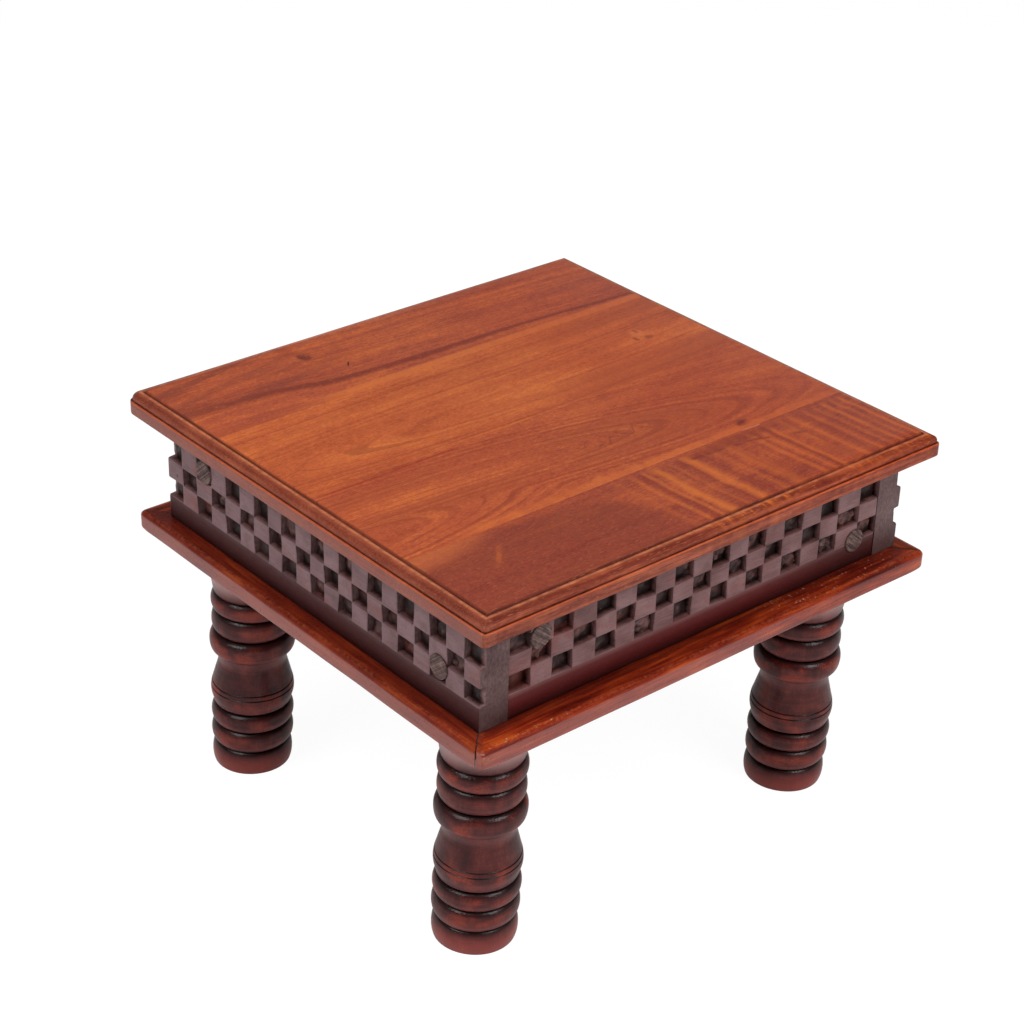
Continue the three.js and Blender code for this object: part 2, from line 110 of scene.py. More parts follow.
CORNERS = ("front_left", "front_right", "back_right", "back_left")
CORNER_SIGNS = ((-1, -1), (1, -1), (1, 1), (-1, 1))
TOP_BOARDS = ("top_board_front", "top_board_front_middle", "top_board_back_middle", "top_board_back")
TOP_LOW, TOP_HIGH = box_of(*TOP_BOARDS)
APRON_LOW, APRON_HIGH = box_of("apron_left", "apron_right", "apron_front", "apron_back")
RAIL_LOW, RAIL_HIGH = box_of("rail_left", "rail_right", "rail_front", "rail_back")
BOX_MIDDLE = Vector((0, (APRON_LOW.y + APRON_HIGH.y) / 2, 0))
APRON_HALF = (APRON_HIGH - APRON_LOW) / 2
INSIDE_HALF = Vector((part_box("apron_right")[0].x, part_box("apron_back")[0].y, 0)) - BOX_MIDDLE
RAIL_MIDDLE = Vector((0, (RAIL_LOW.y + RAIL_HIGH.y) / 2, 0))
RAIL_HALF = (RAIL_HIGH - RAIL_LOW) / 2
RAIL_INSIDE_HALF = Vector((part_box("rail_right")[0].x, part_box("rail_back")[0].y, 0)) - RAIL_MIDDLE
HALF_FIT = (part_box("top_board_back")[0].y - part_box("top_board_back_middle")[1].y) / 2
SEAMS = [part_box(node)[1].y + HALF_FIT for node in TOP_BOARDS[:-1]]
SHOULDER = RAIL_LOW.z - 2 * HALF_FIT

# Fixes the noise that wavers straight edges, which the clock would seed otherwise
NOISE_SEED = 1
noise.seed_set(NOISE_SEED)

# Gaps and worn arrises
SEAM_GAP = 0.00008
MITRE_GAP = 0.0015
FINE_ARRIS = 0.0004
SOFT_ARRIS = 0.0009

# Edge of the top, from the outside in: fascia, ledge, crease, bead, quirk. The bead stays below
# the field, and the quirk goes below the bead.
FASCIA_HEIGHT = 0.009
LEDGE_WIDTH = 0.0016
BEAD_WIDTH = 0.0066
BEAD_BULGE_HEIGHT = 0.0018
BEAD_START_DEGREES = 207
BEAD_DROP = 0.0015
QUIRK_WIDTH = 0.0018
QUIRK_DEPTH = 0.0009
QUIRK_START = LEDGE_WIDTH + BEAD_WIDTH
FIELD_EDGE = QUIRK_START + QUIRK_WIDTH
TOP_CORNER_RADIUS = 0.004
WORN_CORNER_RADIUS = 0.0085
TOP_FINE_STEP = 0.0007
TOP_COARSE_STEP = 0.006
TOP_WAVER = 0.00025
TOP_WAVER_SIZE = 0.05

# Rails
RAIL_ROUND_WIDTH = 0.0045
RAIL_ROUND_HEIGHT = 0.003
RAIL_CORNER_RADIUS = 0.0035
RAIL_WORN_CORNER_RADIUS = 0.0055
RAIL_BRUISE = 0.0022
RAIL_BRUISE_REACH = 0.014
RAIL_FINE_STEP = 0.0012
RAIL_COARSE_STEP = 0.006
RAIL_WAVER = 0.0005
RAIL_WAVER_SIZE = 0.045
MITRE_SLIP = 0.005

# Chequer carving of the aprons, rows from the bottom up, columns from the front or from the left
PLAIN_STRIP_SHARE = 0.235
ROW_SHARES = (0.195, 0.185, 0.225)
LONG_COLUMN_SHARES = (
    0.91, 1.06, 1.03, 0.95, 1.04, 0.95, 0.95, 1, 0.9, 0.93, 0.93,
    0.97, 1, 0.93, 1.03, 1, 1.07, 1.05, 1.1, 1.1, 1.1,
)
SHORT_COLUMN_SHARES = (
    1, 1, 0.98, 1.09, 0.99, 0.95, 1, 0.93, 0.95, 0.95,
    0.95, 0.94, 0.94, 0.99, 1.05, 1, 1, 1.21, 1.07,
)
POCKET_DEPTH = 0.005
POCKET_LAND = 0.0006
POCKET_WALL = 0.0005
POCKET_LINE = 0.0012
POCKET_SHIFT = 0.0005
POCKET_LUMP = 0.0022
POCKET_LUMP_SIZE = 0.004
POCKET_PHASES = 50
CARVING_WAVER = 0.0005
CARVING_WAVER_SIZE = 0.03
APRON_BACK_SHARES = (0.06, 0.5, 1)

# Legs, as in the frame: heights are shares of the turned height, girths of the leg's radius
LEG_RADIUS = 0.030
FOOT_SHIFT = -0.0034
POST_SIZE = 0.038
CREASE_SHARE = 0.8
FOOT_SHARES = (0, 0.096, 0.937)
LOW_BEAD_SHARES = ((0.096, 0.187, 0.959), (0.187, 0.269, 0.961))
VASE_SHARES = (
    (0.8, 0.269),
    (0.893, 0.279),
    (0.925, 0.296),
    (0.964, 0.324),
    (0.958, 0.353),
    (0.913, 0.382),
    (0.87, 0.41),
    (0.823, 0.439),
    (0.793, 0.464),
    (0.827, 0.49),
    (0.873, 0.511),
)
WIDE_BEAD_SHARES = (0.521, 0.562, 0.605)
WIDE_BEAD_LIP_SHARE = 0.933
HIGH_BEAD_SHARES = ((0.605, 0.698, 0.953), (0.698, 0.78, 0.97))
COLLAR_SHARES = (
    (0.8, 0.78),
    (0.9, 0.785),
    (0.972, 0.85),
    (1.075, 0.925),
    (1.163, 1),
)
INCISED_SHARES = (0.347, 0.367)
INCISED_SECTION_SHARES = ((-1, 0), (-0.4, 0.85), (0, 1), (0.4, 0.85), (1, 0))
INCISED_HALF_WIDTH = 0.0005
INCISED_DEPTH = 0.0006
BEAD_FULLNESS = 2.2
LEG_SEGMENTS = 96
LEG_WAVER = 0.0005
LEG_WAVER_TURN = 0.8
LEG_WAVER_RISE = 5
LEG_SEED_STEP = 7

# Small parts
PEG_SEGMENTS = 56
PEG_RINGS = 18
PEG_CHAMFER = 0.0006
PEG_WOBBLE = 0.012
SAW_PITCH = 0.0016
SAW_DEPTH = 0.00022
SAW_ROUGH_SIZE = 0.002
NAIL_TIP = 0.003
SCREW_HEAD_HEIGHT = 0.0024
SCREW_SHANK_SHARE = 0.5
SLOT_HALF_WIDTH = 0.0005
SLOT_REACH = 0.0024
SLOT_DEPTH = 0.0005

# Edges that bend less than this are shaded smooth
FLAT_SMOOTH_DEGREES = 35
CARVED_SMOOTH_DEGREES = 28
ROUND_SMOOTH_DEGREES = 40


# Mesh helpers

def link_piece(node, mesh, material, smooth_degrees):
    """Makes the piece that replaces a node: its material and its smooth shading."""
    mesh.validate()
    mesh.materials.append(material)
    mesh.polygons.foreach_set("use_smooth", [True] * len(mesh.polygons))
    mesh.set_sharp_from_angle(angle=math.radians(smooth_degrees))
    piece = put_in_scene(f"{node}_dressed", mesh)
    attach(piece, "root")
    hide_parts(node)


def mesh_from(node, body):
    """The mesh for a node, out of a body that is then freed."""
    mesh = bpy.data.meshes.new(f"{node}_mesh")
    body.to_mesh(mesh)
    body.free()
    return mesh


def mesh_of(node, vertices, faces):
    """A mesh whose faces all look outwards."""
    body = bmesh.new()
    corners = [body.verts.new(tuple(vertex)) for vertex in vertices]
    for face in faces:
        body.faces.new([corners[index] for index in face])
    bmesh.ops.recalc_face_normals(body, faces=body.faces)
    return mesh_from(node, body)


def closed_loft(rings, caps=None):
    """The vertices and faces of a closed body through rings of equally many points.

    caps lists the faces that close each end, as places in a ring. Without it one face does."""
    count = len(rings[0])
    caps = caps or [list(range(count))]
    vertices = [point for ring in rings for point in ring]
    faces = [tuple(reversed(cap)) for cap in caps]
    for level in range(len(rings) - 1):
        low = level * count
        high = low + count
        for i in range(count):
            following = (i + 1) % count
            faces.append((low + i, low + following, high + following, high + i))
    last = (len(rings) - 1) * count
    faces += [tuple(last + place for place in cap) for cap in caps]
    return vertices, faces


def arc(centre, radii, start, end, steps):
    """Points on an ellipse from one angle to another, in degrees."""
    points = []
    for step in range(steps + 1):
        angle = math.radians(start + (end - start) * step / steps)
        points.append((
            centre[0] + radii[0] * math.cos(angle),
            centre[1] + radii[1] * math.sin(angle),
        ))
    return points


def soft_foot(low):
    """The rounded lower arris of a section that goes from below to its outer face."""
    return arc((SOFT_ARRIS, low + SOFT_ARRIS), (SOFT_ARRIS, SOFT_ARRIS), -90, -180, 3)


def fine_shoulder(inset, high):
    """The small arris from an upright face up to a level one."""
    return arc((inset + FINE_ARRIS, high - FINE_ARRIS), (FINE_ARRIS, FINE_ARRIS), 180, 90, 3)


def round_corner(x, y, half_x, half_y, radius):
    """Moves a point near the square corner of a rectangle so that the corner comes out round."""
    over_x = abs(x) - (half_x - radius)
    over_y = abs(y) - (half_y - radius)
    if over_x <= 0 or over_y <= 0:
        return x, y
    scale = max(over_x, over_y) / math.hypot(over_x, over_y)
    return (
        math.copysign(half_x - radius + over_x * scale, x),
        math.copysign(half_y - radius + over_y * scale, y),
    )


def waver(point, size, amount):
    """A small smooth push that makes straight lines look worked by hand."""
    return noise.noise_vector(Vector(point) / size) * amount


def side_shares(length, fine, near, coarse):
    """Places along a side of that length, close together near its ends."""
    near_steps = max(1, round(near / fine))
    shares = [step * fine / length for step in range(near_steps)]
    middle = length - 2 * near_steps * fine
    steps = max(1, round(middle / coarse))
    shares += [(near_steps * fine + middle * step / steps) / length for step in range(steps)]
    shares += [1 - (near_steps - step) * fine / length for step in range(near_steps)]
    return shares


# Top

def top_edge_profile():
    """The section of the edge as (distance in from the edge, height), from below to the field."""
    low, high = TOP_LOW.z, TOP_HIGH.z
    fascia_top = low + FASCIA_HEIGHT
    bead_top = high - BEAD_DROP
    widest = fascia_top + BEAD_BULGE_HEIGHT
    profile = soft_foot(low)
    profile += [(0, low + FASCIA_HEIGHT * share) for share in (0.35, 0.65)]
    profile += fine_shoulder(0, fascia_top)
    profile += arc((QUIRK_START, widest), (BEAD_WIDTH, bead_top - widest), BEAD_START_DEGREES, 90, 17)
    profile += [
        (QUIRK_START + QUIRK_WIDTH * across, bead_top - QUIRK_DEPTH * down)
        for across, down in ((0.25, 0.35), (0.45, 1), (0.65, 1), (0.9, 0.4))
    ]
    return profile + fine_shoulder(FIELD_EDGE, high)


def top_rings():
    half_x, half_y = TOP_HIGH.x, TOP_HIGH.y
    near = WORN_CORNER_RADIUS * 1.2
    along_x = side_shares(2 * half_x, TOP_FINE_STEP, near, TOP_COARSE_STEP)
    along_y = side_shares(2 * half_y, TOP_FINE_STEP, near, TOP_COARSE_STEP)
    rings = []
    for inset, height in top_edge_profile():
        ring = []
        for side, start in enumerate(CORNER_SIGNS):
            end = CORNER_SIGNS[(side + 1) % len(CORNER_SIGNS)]
            for share in along_y if side % 2 else along_x:
                x = (start[0] + (end[0] - start[0]) * share) * (half_x - inset)
                y = (start[1] + (end[1] - start[1]) * share) * (half_y - inset)
                radius = WORN_CORNER_RADIUS if x < 0 < y else TOP_CORNER_RADIUS
                x, y = round_corner(x, y, half_x, half_y, radius)
                push = waver((x, y, height), TOP_WAVER_SIZE, TOP_WAVER)
                ring.append(Vector((x + push.x, y + push.y, height + push.z * 0.3)))
        rings.append(ring)
    return rings


def cut_board(node, mesh, front, back):
    """Keeps the part of the top between two seams and closes the cuts."""
    body = bmesh.new()
    body.from_mesh(mesh)
    for seam, outward in ((front, -1), (back, 1)):
        if seam is None:
            continue
        geometry = body.verts[:] + body.edges[:] + body.faces[:]
        cut = bmesh.ops.bisect_plane(
            body, geom=geometry, plane_co=(0, seam, 0), plane_no=(0, outward, 0), clear_outer=True)
        edges = [item for item in cut["geom_cut"] if isinstance(item, bmesh.types.BMEdge)]
        bmesh.ops.edgeloop_fill(body, edges=edges)
    bmesh.ops.recalc_face_normals(body, faces=body.faces)
    return mesh_from(node, body)


def add_top(materials):
    whole = mesh_of("top_whole", *closed_loft(top_rings()))
    fronts = [None] + [seam + SEAM_GAP / 2 for seam in SEAMS]
    backs = [seam - SEAM_GAP / 2 for seam in SEAMS] + [None]
    for node, front, back in zip(TOP_BOARDS, fronts, backs):
        board = cut_board(node, whole, front, back)
        link_piece(node, board, materials[node], FLAT_SMOOTH_DEGREES)
    bpy.data.meshes.remove(whole)


# Aprons

def line_places(edges, widest):
    """Fills the stretches between sorted places with lines no further apart than widest."""
    lines = []
    for start, end in zip(edges, edges[1:]):
        steps = max(1, math.ceil((end - start) / widest - 0.01))
        lines += [start + (end - start) * step / steps for step in range(steps)]
    return lines + [edges[-1]]


def rim_places(edge, sides=(-1, 1)):
    """The lines of the pocket walls on the given sides of an edge between cells."""
    rim = POCKET_LAND / 2
    places = []
    for side in sides:
        places += sorted((edge + side * rim, edge + side * (rim + POCKET_WALL)))
    return places


class Carving:
    """The chequer of one apron: where each point of its flat face goes when it is carved."""

    def __init__(self, half, column_shares, seed, lumps):
        self.half = half
        self.seed = seed
        self.edges = [-half]
        for share in column_shares:
            self.edges.append(self.edges[-1] + 2 * half * share / sum(column_shares))
        height = APRON_HIGH.z - APRON_LOW.z
        self.rows = [APRON_LOW.z + height * PLAIN_STRIP_SHARE]
        for share in ROW_SHARES:
            self.rows.append(self.rows[-1] + height * share)
        draw = random.Random(seed)

        def shift():
            return draw.uniform(-POCKET_SHIFT, POCKET_SHIFT)

        self.pockets = {
            (column, row): {
                "deep": POCKET_DEPTH * draw.uniform(0.85, 1.1),
                "tilt": (draw.uniform(-0.15, 0.15), draw.uniform(-0.15, 0.15)),
                "shift": [(shift(), shift()) for _ in CORNERS],
                "lump": draw.uniform(0.2, 1) ** 1.5 * lumps,
                "phase": draw.uniform(0, POCKET_PHASES),
            }
            for column in range(len(column_shares))
            for row in range(len(ROW_SHARES))
            if (column + row) % 2 == 0
        }

    def lines(self):
        """The upright and level lines that the face is cut into."""
        uprights = [-self.half, -self.half + SOFT_ARRIS]
        for edge in self.edges[1:-1]:
            uprights += rim_places(edge)
        uprights += [self.half - SOFT_ARRIS, self.half]
        levels = [APRON_LOW.z, APRON_LOW.z + SOFT_ARRIS] + rim_places(self.rows[0], (1,))
        for edge in self.rows[1:-1]:
            levels += rim_places(edge)
        levels += rim_places(self.rows[-1], (-1,)) + [APRON_HIGH.z - SOFT_ARRIS, APRON_HIGH.z]
        return line_places(uprights, POCKET_LINE), line_places(levels, POCKET_LINE)

    def cell(self, u, v):
        """The pocket that a point lies in, with its shares across and up and its distance in."""
        if not self.rows[0] <= v < self.rows[-1]:
            return None
        last = len(self.edges) - 2
        column = min(last, max(0, bisect_right(self.edges, u) - 1))
        row = bisect_right(self.rows, v) - 1
        pocket = self.pockets.get((column, row))
        if pocket is None:
            return None
        rim = POCKET_LAND / 2
        left, right = self.edges[column] + rim, self.edges[column + 1] - rim
        low, high = self.rows[row] + rim, self.rows[row + 1] - rim
        from_left = u - left if column > 0 else math.inf
        from_right = right - u if column < last else math.inf
        inside = min(from_left, from_right, v - low, high - v)
        share_u = min(1, max(0, (u - left) / (right - left)))
        share_v = min(1, max(0, (v - low) / (high - low)))
        return pocket, share_u, share_v, inside

    def point(self, u, v):
        """Where a point of the face ends up: along, up and how deep."""
        sway = waver((u, v, self.seed), CARVING_WAVER_SIZE, CARVING_WAVER)
        u_out, v_out = u + sway.x * 0.5, v + sway.y * 0.6
        cell = self.cell(u, v)
        tiny = POCKET_LAND * 0.01
        if cell is None or cell[3] < -tiny:
            return u_out, v_out, 0
        pocket, share_u, share_v, inside = cell
        low_left, low_right, high_left, high_right = (Vector(shift) for shift in pocket["shift"])
        shift = low_left.lerp(low_right, share_u).lerp(high_left.lerp(high_right, share_u), share_v)
        u_out += shift.x
        v_out += shift.y
        if inside < tiny:
            return u_out, v_out, FINE_ARRIS
        tilt_u, tilt_v = pocket["tilt"]
        deep = pocket["deep"] * (1 + tilt_u * (2 * share_u - 1) + tilt_v * (2 * share_v - 1))
        place = Vector((u, v, 0)) / POCKET_LUMP_SIZE + Vector((0, 0, pocket["phase"]))
        bump = noise.fractal(place, 0.8, 2, 3)
        dome = max(0, 1 - 4 * ((share_u - 0.5) ** 2 + (share_v - 0.5) ** 2))
        deep -= pocket["lump"] * (0.1 + bump * 0.8 + dome * 0.9) * POCKET_LUMP
        return u_out, v_out, max(POCKET_DEPTH * 0.3, deep)


def apron_mesh(node, carving, outer, thickness, along):
    """A board whose outer face is carved and whose other faces are flat."""
    outwards = Vector((along.y, -along.x, 0))
    uprights, levels = carving.lines()
    vertices = []
    for v in levels:
        for u in uprights:
            u_out, v_out, deep = carving.point(u, v)
            if u in (uprights[0], uprights[-1]):
                u_out = u
                deep += SOFT_ARRIS * 0.5
            if v in (levels[0], levels[-1]):
                v_out = v
                deep += SOFT_ARRIS * 0.5
            place = BOX_MIDDLE + along * u_out + outwards * (outer - deep)
            vertices.append(Vector((place.x, place.y, v_out)))
    wide = len(uprights)
    faces = []
    for i in range(len(levels) - 1):
        for first in range(i * wide, (i + 1) * wide - 1):
            faces.append((first, first + 1, first + wide + 1, first + wide))
    last = (len(levels) - 1) * wide
    loop = list(range(wide))
    loop += [i * wide + wide - 1 for i in range(1, len(levels) - 1)]
    loop += [last + j for j in range(wide - 1, -1, -1)]
    loop += [i * wide for i in range(len(levels) - 2, 0, -1)]
    rim = [vertices[index] for index in loop]
    inner = BOX_MIDDLE.dot(outwards) + outer - thickness
    for share in APRON_BACK_SHARES:
        start = len(vertices)
        vertices += [point + outwards * (inner - point.dot(outwards)) * share for point in rim]
        following = list(range(start, start + len(rim)))
        for i in range(len(loop)):
            j = (i + 1) % len(loop)
            faces.append((loop[j], loop[i], following[i], following[j]))
        loop = following
    faces.append(tuple(reversed(loop)))
    return mesh_of(node, vertices, faces)


def add_aprons(material):
    long_sizes = (APRON_HALF.x, APRON_HALF.x - INSIDE_HALF.x)
    short_sizes = (APRON_HALF.y, APRON_HALF.y - INSIDE_HALF.y)
    long_half, short_half = APRON_HALF.y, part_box("apron_front")[1].x
    long_shares, short_shares = LONG_COLUMN_SHARES, SHORT_COLUMN_SHARES
    sides = (
        ("apron_left", (0, -1, 0), long_half, long_shares[::-1], long_sizes, 0.7),
        ("apron_right", (0, 1, 0), long_half, long_shares, long_sizes, 0.4),
        ("apron_front", (1, 0, 0), short_half, short_shares, short_sizes, 1.1),
        ("apron_back", (-1, 0, 0), short_half, short_shares[::-1], short_sizes, 0.7),
    )
    for seed, (node, along, half, shares, sizes, lumps) in enumerate(sides):
        mesh = apron_mesh(node, Carving(half, shares, seed, lumps), *sizes, Vector(along))
        link_piece(node, mesh, material, CARVED_SMOOTH_DEGREES)


# Rails

def rail_profile(width):
    """The section of a rail as (distance in from the outer face, height), from inside round."""
    low, high = RAIL_LOW.z, RAIL_HIGH.z
    side_top = high - RAIL_ROUND_HEIGHT
    profile = [(width, low), (width * 0.5, low), (MITRE_SLIP, low)]
    profile += soft_foot(low)
    profile += [(0, low + (side_top - low) * share) for share in (0.4, 0.75)]
    profile += arc((RAIL_ROUND_WIDTH, side_top), (RAIL_ROUND_WIDTH, RAIL_ROUND_HEIGHT), 180, 90, 8)
    profile += [(MITRE_SLIP, high)]
    return profile + [(width * share, high) for share in (0.3, 0.5, 0.75, 1)]


def rail_caps(profile):
    """The end of a rail as two flat faces, since it bends where one rail laps over the other."""
    first, last = [place for place, (inset, _) in enumerate(profile) if inset == MITRE_SLIP]
    outer = list(range(first, last + 1))
    inner = list(range(last, len(profile))) + list(range(first + 1))
    return [outer, inner]


def mitre_reach(inset, half, inner_half, width, wrap, cut):
    """How far a rail reaches at a distance in from its face, where one slips past its neighbour."""
    share = max(0, inset - wrap) / (width - wrap)
    return half - cut - share * (half - inner_half - cut) - MITRE_GAP / 2


def worn_rail_corner(place):
    """Rounds the corners of the frame, and lifts the lower edge where it is bruised."""
    is_sharper = (place.x < 0 and place.y < 0) or (place.x > 0 and place.y > 0)
    radius = RAIL_CORNER_RADIUS if is_sharper else RAIL_WORN_CORNER_RADIUS
    x, y = round_corner(place.x, place.y, RAIL_HALF.x, RAIL_HALF.y, radius)
    far = math.hypot(RAIL_HALF.x - abs(x), RAIL_HALF.y - abs(y))
    wear = max(0, 1 - far / RAIL_BRUISE_REACH) ** 2 * RAIL_BRUISE
    share = (RAIL_HIGH.z - place.z) / (RAIL_HIGH.z - RAIL_LOW.z)
    return Vector((x, y, place.z + wear * share ** 2))


def rail_mesh(node, half, outer, inner_half, inner_outer, quarters, left_slips, right_slips):
    """A mitred rail along the front, turned about the middle of the frame by quarters of a turn."""
    width = outer - inner_outer
    profile = rail_profile(width)
    near = RAIL_WORN_CORNER_RADIUS * 2.5
    turn = Matrix.Rotation(quarters * math.pi / 2, 3, "Z")
    rings = []
    for share in side_shares(2 * half, RAIL_FINE_STEP, near, RAIL_COARSE_STEP) + [1]:
        ring = []
        for inset, height in profile:
            left = -mitre_reach(inset, half, inner_half, width, *left_slips)
            right = mitre_reach(inset, half, inner_half, width, *right_slips)
            x, y = left + (right - left) * share, inset - outer
            push = waver((x, y, height + quarters), RAIL_WAVER_SIZE, RAIL_WAVER)
            place = worn_rail_corner(turn @ Vector((x, y, height)))
            ring.append(RAIL_MIDDLE + place + turn @ Vector((0, push.y * 0.5, push.z * 0.5)))
        rings.append(ring)
    return mesh_of(node, *closed_loft(rings, rail_caps(profile)))


def add_rails(material):
    across_x = (RAIL_HALF.x, RAIL_HALF.y, RAIL_INSIDE_HALF.x, RAIL_INSIDE_HALF.y)
    across_y = (RAIL_HALF.y, RAIL_HALF.x, RAIL_INSIDE_HALF.y, RAIL_INSIDE_HALF.x)
    straight = (0, 0)
    sides = (
        ("rail_front", across_x, (MITRE_SLIP, 0), straight),
        ("rail_right", across_y, straight, straight),
        ("rail_back", across_x, straight, straight),
        ("rail_left", across_y, straight, (0, MITRE_SLIP)),
    )
    for quarters, (node, sizes, left_slips, right_slips) in enumerate(sides):
        mesh = rail_mesh(node, *sizes, quarters, left_slips, right_slips)
        link_piece(node, mesh, material, ROUND_SMOOTH_DEGREES)


# Legs

def bead_points(low, high, girth, start=-90, steps=14):
    """A full bead between two creases, as (girth share, height share)."""
    points = []
    floor = math.sin(math.radians(start))
    for step in range(steps + 1):
        angle = math.radians(start + (90 - start) * step / steps)
        rise = (math.sin(angle) - floor) / (1 - floor)
        swell = max(0, math.cos(angle)) ** (2 / BEAD_FULLNESS)
        points.append((CREASE_SHARE + (girth - CREASE_SHARE) * swell, low + (high - low) * rise))
    return points


def smooth_shares(points, steps=4):
    """A Catmull-Rom curve through (girth, height) points."""
    ends = [points[0]] + list(points) + [points[-1]]
    curve = []
    for before, start, end, after in zip(ends, ends[1:], ends[2:], ends[3:]):
        for step in range(steps):
            t = step / steps
            curve.append(tuple(
                0.5 * (
                    2 * b
                    + (c - a) * t
                    + (2 * a - 5 * b + 4 * c - d) * t ** 2
                    + (3 * b - a - 3 * c + d) * t ** 3
                )
                for a, b, c, d in zip(before, start, end, after)
            ))
    return curve + [tuple(points[-1])]


def incised(points):
    """Adds the fine lines cut round the vase to its (girth, height) points."""
    reach = INCISED_HALF_WIDTH / SHOULDER
    depth = INCISED_DEPTH / LEG_RADIUS

    def girth_at(height):
        low = max((point for point in points if point[1] <= height), key=lambda point: point[1])
        high = min((point for point in points if point[1] > height), key=lambda point: point[1])
        share = (height - low[1]) / (high[1] - low[1])
        return low[0] + (high[0] - low[0]) * share

    cut = [
        point for point in points
        if all(abs(point[1] - line) > 1.5 * reach for line in INCISED_SHARES)
    ]
    for line in INCISED_SHARES:
        for step, sink in INCISED_SECTION_SHARES:
            height = line + step * reach
            cut.append((girth_at(height) - sink * depth, height))
    return sorted(cut, key=lambda point: point[1])


def wide_bead_points(steps=8):
    """The bead over the vase: from its lip out to its widest, and in to the crease above it."""
    low, widest, high = WIDE_BEAD_SHARES
    outward = []
    inward = []
    for step in range(steps + 1):
        angle = math.radians(90 * step / steps)
        swell = max(0, math.cos(angle)) ** (2 / BEAD_FULLNESS)
        outward.append((
            WIDE_BEAD_LIP_SHARE + (1 - WIDE_BEAD_LIP_SHARE) * math.sin(angle),
            low + (widest - low) * (1 - math.cos(angle)),
        ))
        inward.append((
            CREASE_SHARE + (1 - CREASE_SHARE) * swell,
            widest + (high - widest) * math.sin(angle),
        ))
    return outward + inward[1:]


def leg_profile():
    points = bead_points(*FOOT_SHARES, start=-45, steps=8)
    for shares in LOW_BEAD_SHARES:
        points += bead_points(*shares)[1:]
    points += incised(smooth_shares(VASE_SHARES))[1:]
    points += wide_bead_points()
    for shares in HIGH_BEAD_SHARES:
        points += bead_points(*shares)[1:]
    return points + smooth_shares(COLLAR_SHARES)[1:]


def post_box(axis_place):
    """The low and high corners in plan of the post that rises from the leg with that axis."""
    low, high = [], []
    for axis in range(2):
        side = math.copysign(1, axis_place[axis] - BOX_MIDDLE[axis])
        outer = BOX_MIDDLE[axis] + side * (INSIDE_HALF[axis] - 2 * HALF_FIT)
        inner = outer - side * POST_SIZE
        low.append(min(outer, inner))
        high.append(max(outer, inner))
    return low, high


def reach_in_box(place, around, low, high):
    """How far it is from a place inside a rectangle to its edge in a level direction."""
    reaches = []
    for axis in range(2):
        if around[axis] != 0:
            wall = high[axis] if around[axis] > 0 else low[axis]
            reaches.append((wall - place[axis]) / around[axis])
    return min(reaches)


def leg_mesh(node, axis_place, seed):
    low, high = post_box(axis_place)
    rings = []
    directions = []
    for segment in range(LEG_SEGMENTS):
        angle = 2 * math.pi * segment / LEG_SEGMENTS
        directions.append(Vector((math.cos(angle), math.sin(angle), 0)))
    for girth, share in leg_profile():
        height = share * SHOULDER
        middle = axis_place + Vector((FOOT_SHIFT + LEAN * height, 0, height))
        lift = Vector((0, 0, share * LEG_WAVER_RISE + seed))
        ring = []
        for around in directions:
            radius = LEG_RADIUS * girth
            radius += noise.noise(around * LEG_WAVER_TURN + lift) * LEG_WAVER
            ring.append(middle + around * radius)
        rings.append(ring)
    for height in (SHOULDER, APRON_HIGH.z):
        ring = []
        for around in directions:
            reach = reach_in_box(axis_place, around, low, high)
            ring.append(axis_place + around * reach + Vector((0, 0, height)))
        rings.append(ring)
    return mesh_of(node, *closed_loft(rings))


def leg_head(corner):
    """Where the turned part of a leg meets the frame, which is the middle of its box."""
    low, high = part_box(f"leg_{corner}")
    return Vector(((low.x + high.x) / 2, (low.y + high.y) / 2, 0))


LEG_HEADS = [leg_head(corner) for corner in CORNERS]
HEADS_MIDDLE = sum(LEG_HEADS, Vector()) / len(LEG_HEADS)
HEAD_SHIFT = HEADS_MIDDLE.x
LEAN = (HEAD_SHIFT - FOOT_SHIFT) / SHOULDER


def add_legs(material):
    for index, corner in enumerate(CORNERS):
        node = f"leg_{corner}"
        axis_place = LEG_HEADS[index] - Vector((HEAD_SHIFT, 0, 0))
        mesh = leg_mesh(node, axis_place, index * LEG_SEED_STEP)
        link_piece(node, mesh, material, ROUND_SMOOTH_DEGREES)


# Pegs, pins, nails and screws

def axes_along(direction):
    """Two axes at right angles to the direction and to each other."""
    side = Vector((0, 0, 1)).cross(direction)
    if side.length < 0.5:
        side = Vector((1, 0, 0))
    side.normalize()
    return side, direction.cross(side)


def as_placed(point):
    return point


def in_worn_corner(point):
    """Where a point of a pin ends up when the corner that it sits in is worn round."""
    return RAIL_MIDDLE + worn_rail_corner(point - RAIL_MIDDLE)


def round_mesh(node, start, direction, profile, seed, wobble, mark, settle):
    """A round piece along (radius, depth) points. mark says how deep its head is cut at a point."""
    side, up = axes_along(direction)
    rings = []
    for radius, depth in profile:
        ring = []
        for segment in range(PEG_SEGMENTS):
            angle = 2 * math.pi * segment / PEG_SEGMENTS
            reach = radius * (1 + wobble * (math.sin(2 * angle + seed) + 0.6 * math.sin(3 * angle)))
            across, over = reach * math.cos(angle), reach * math.sin(angle)
            deep = depth + mark(across, over) if depth < PEG_CHAMFER else depth
            ring.append(settle(start + side * across + up * over + direction * deep))
        rings.append(ring)
    return mesh_of(node, *closed_loft(rings))


def head_profile(radius):
    return [(radius * (step + 0.5) / PEG_RINGS, 0) for step in range(PEG_RINGS)] + [(radius, 0)]


def peg_profile(radius, length):
    return head_profile(radius - PEG_CHAMFER) + [
        (radius - PEG_CHAMFER * 0.3, PEG_CHAMFER * 0.3),
        (radius, PEG_CHAMFER),
        (radius, length - PEG_CHAMFER),
        (radius - PEG_CHAMFER, length),
    ]


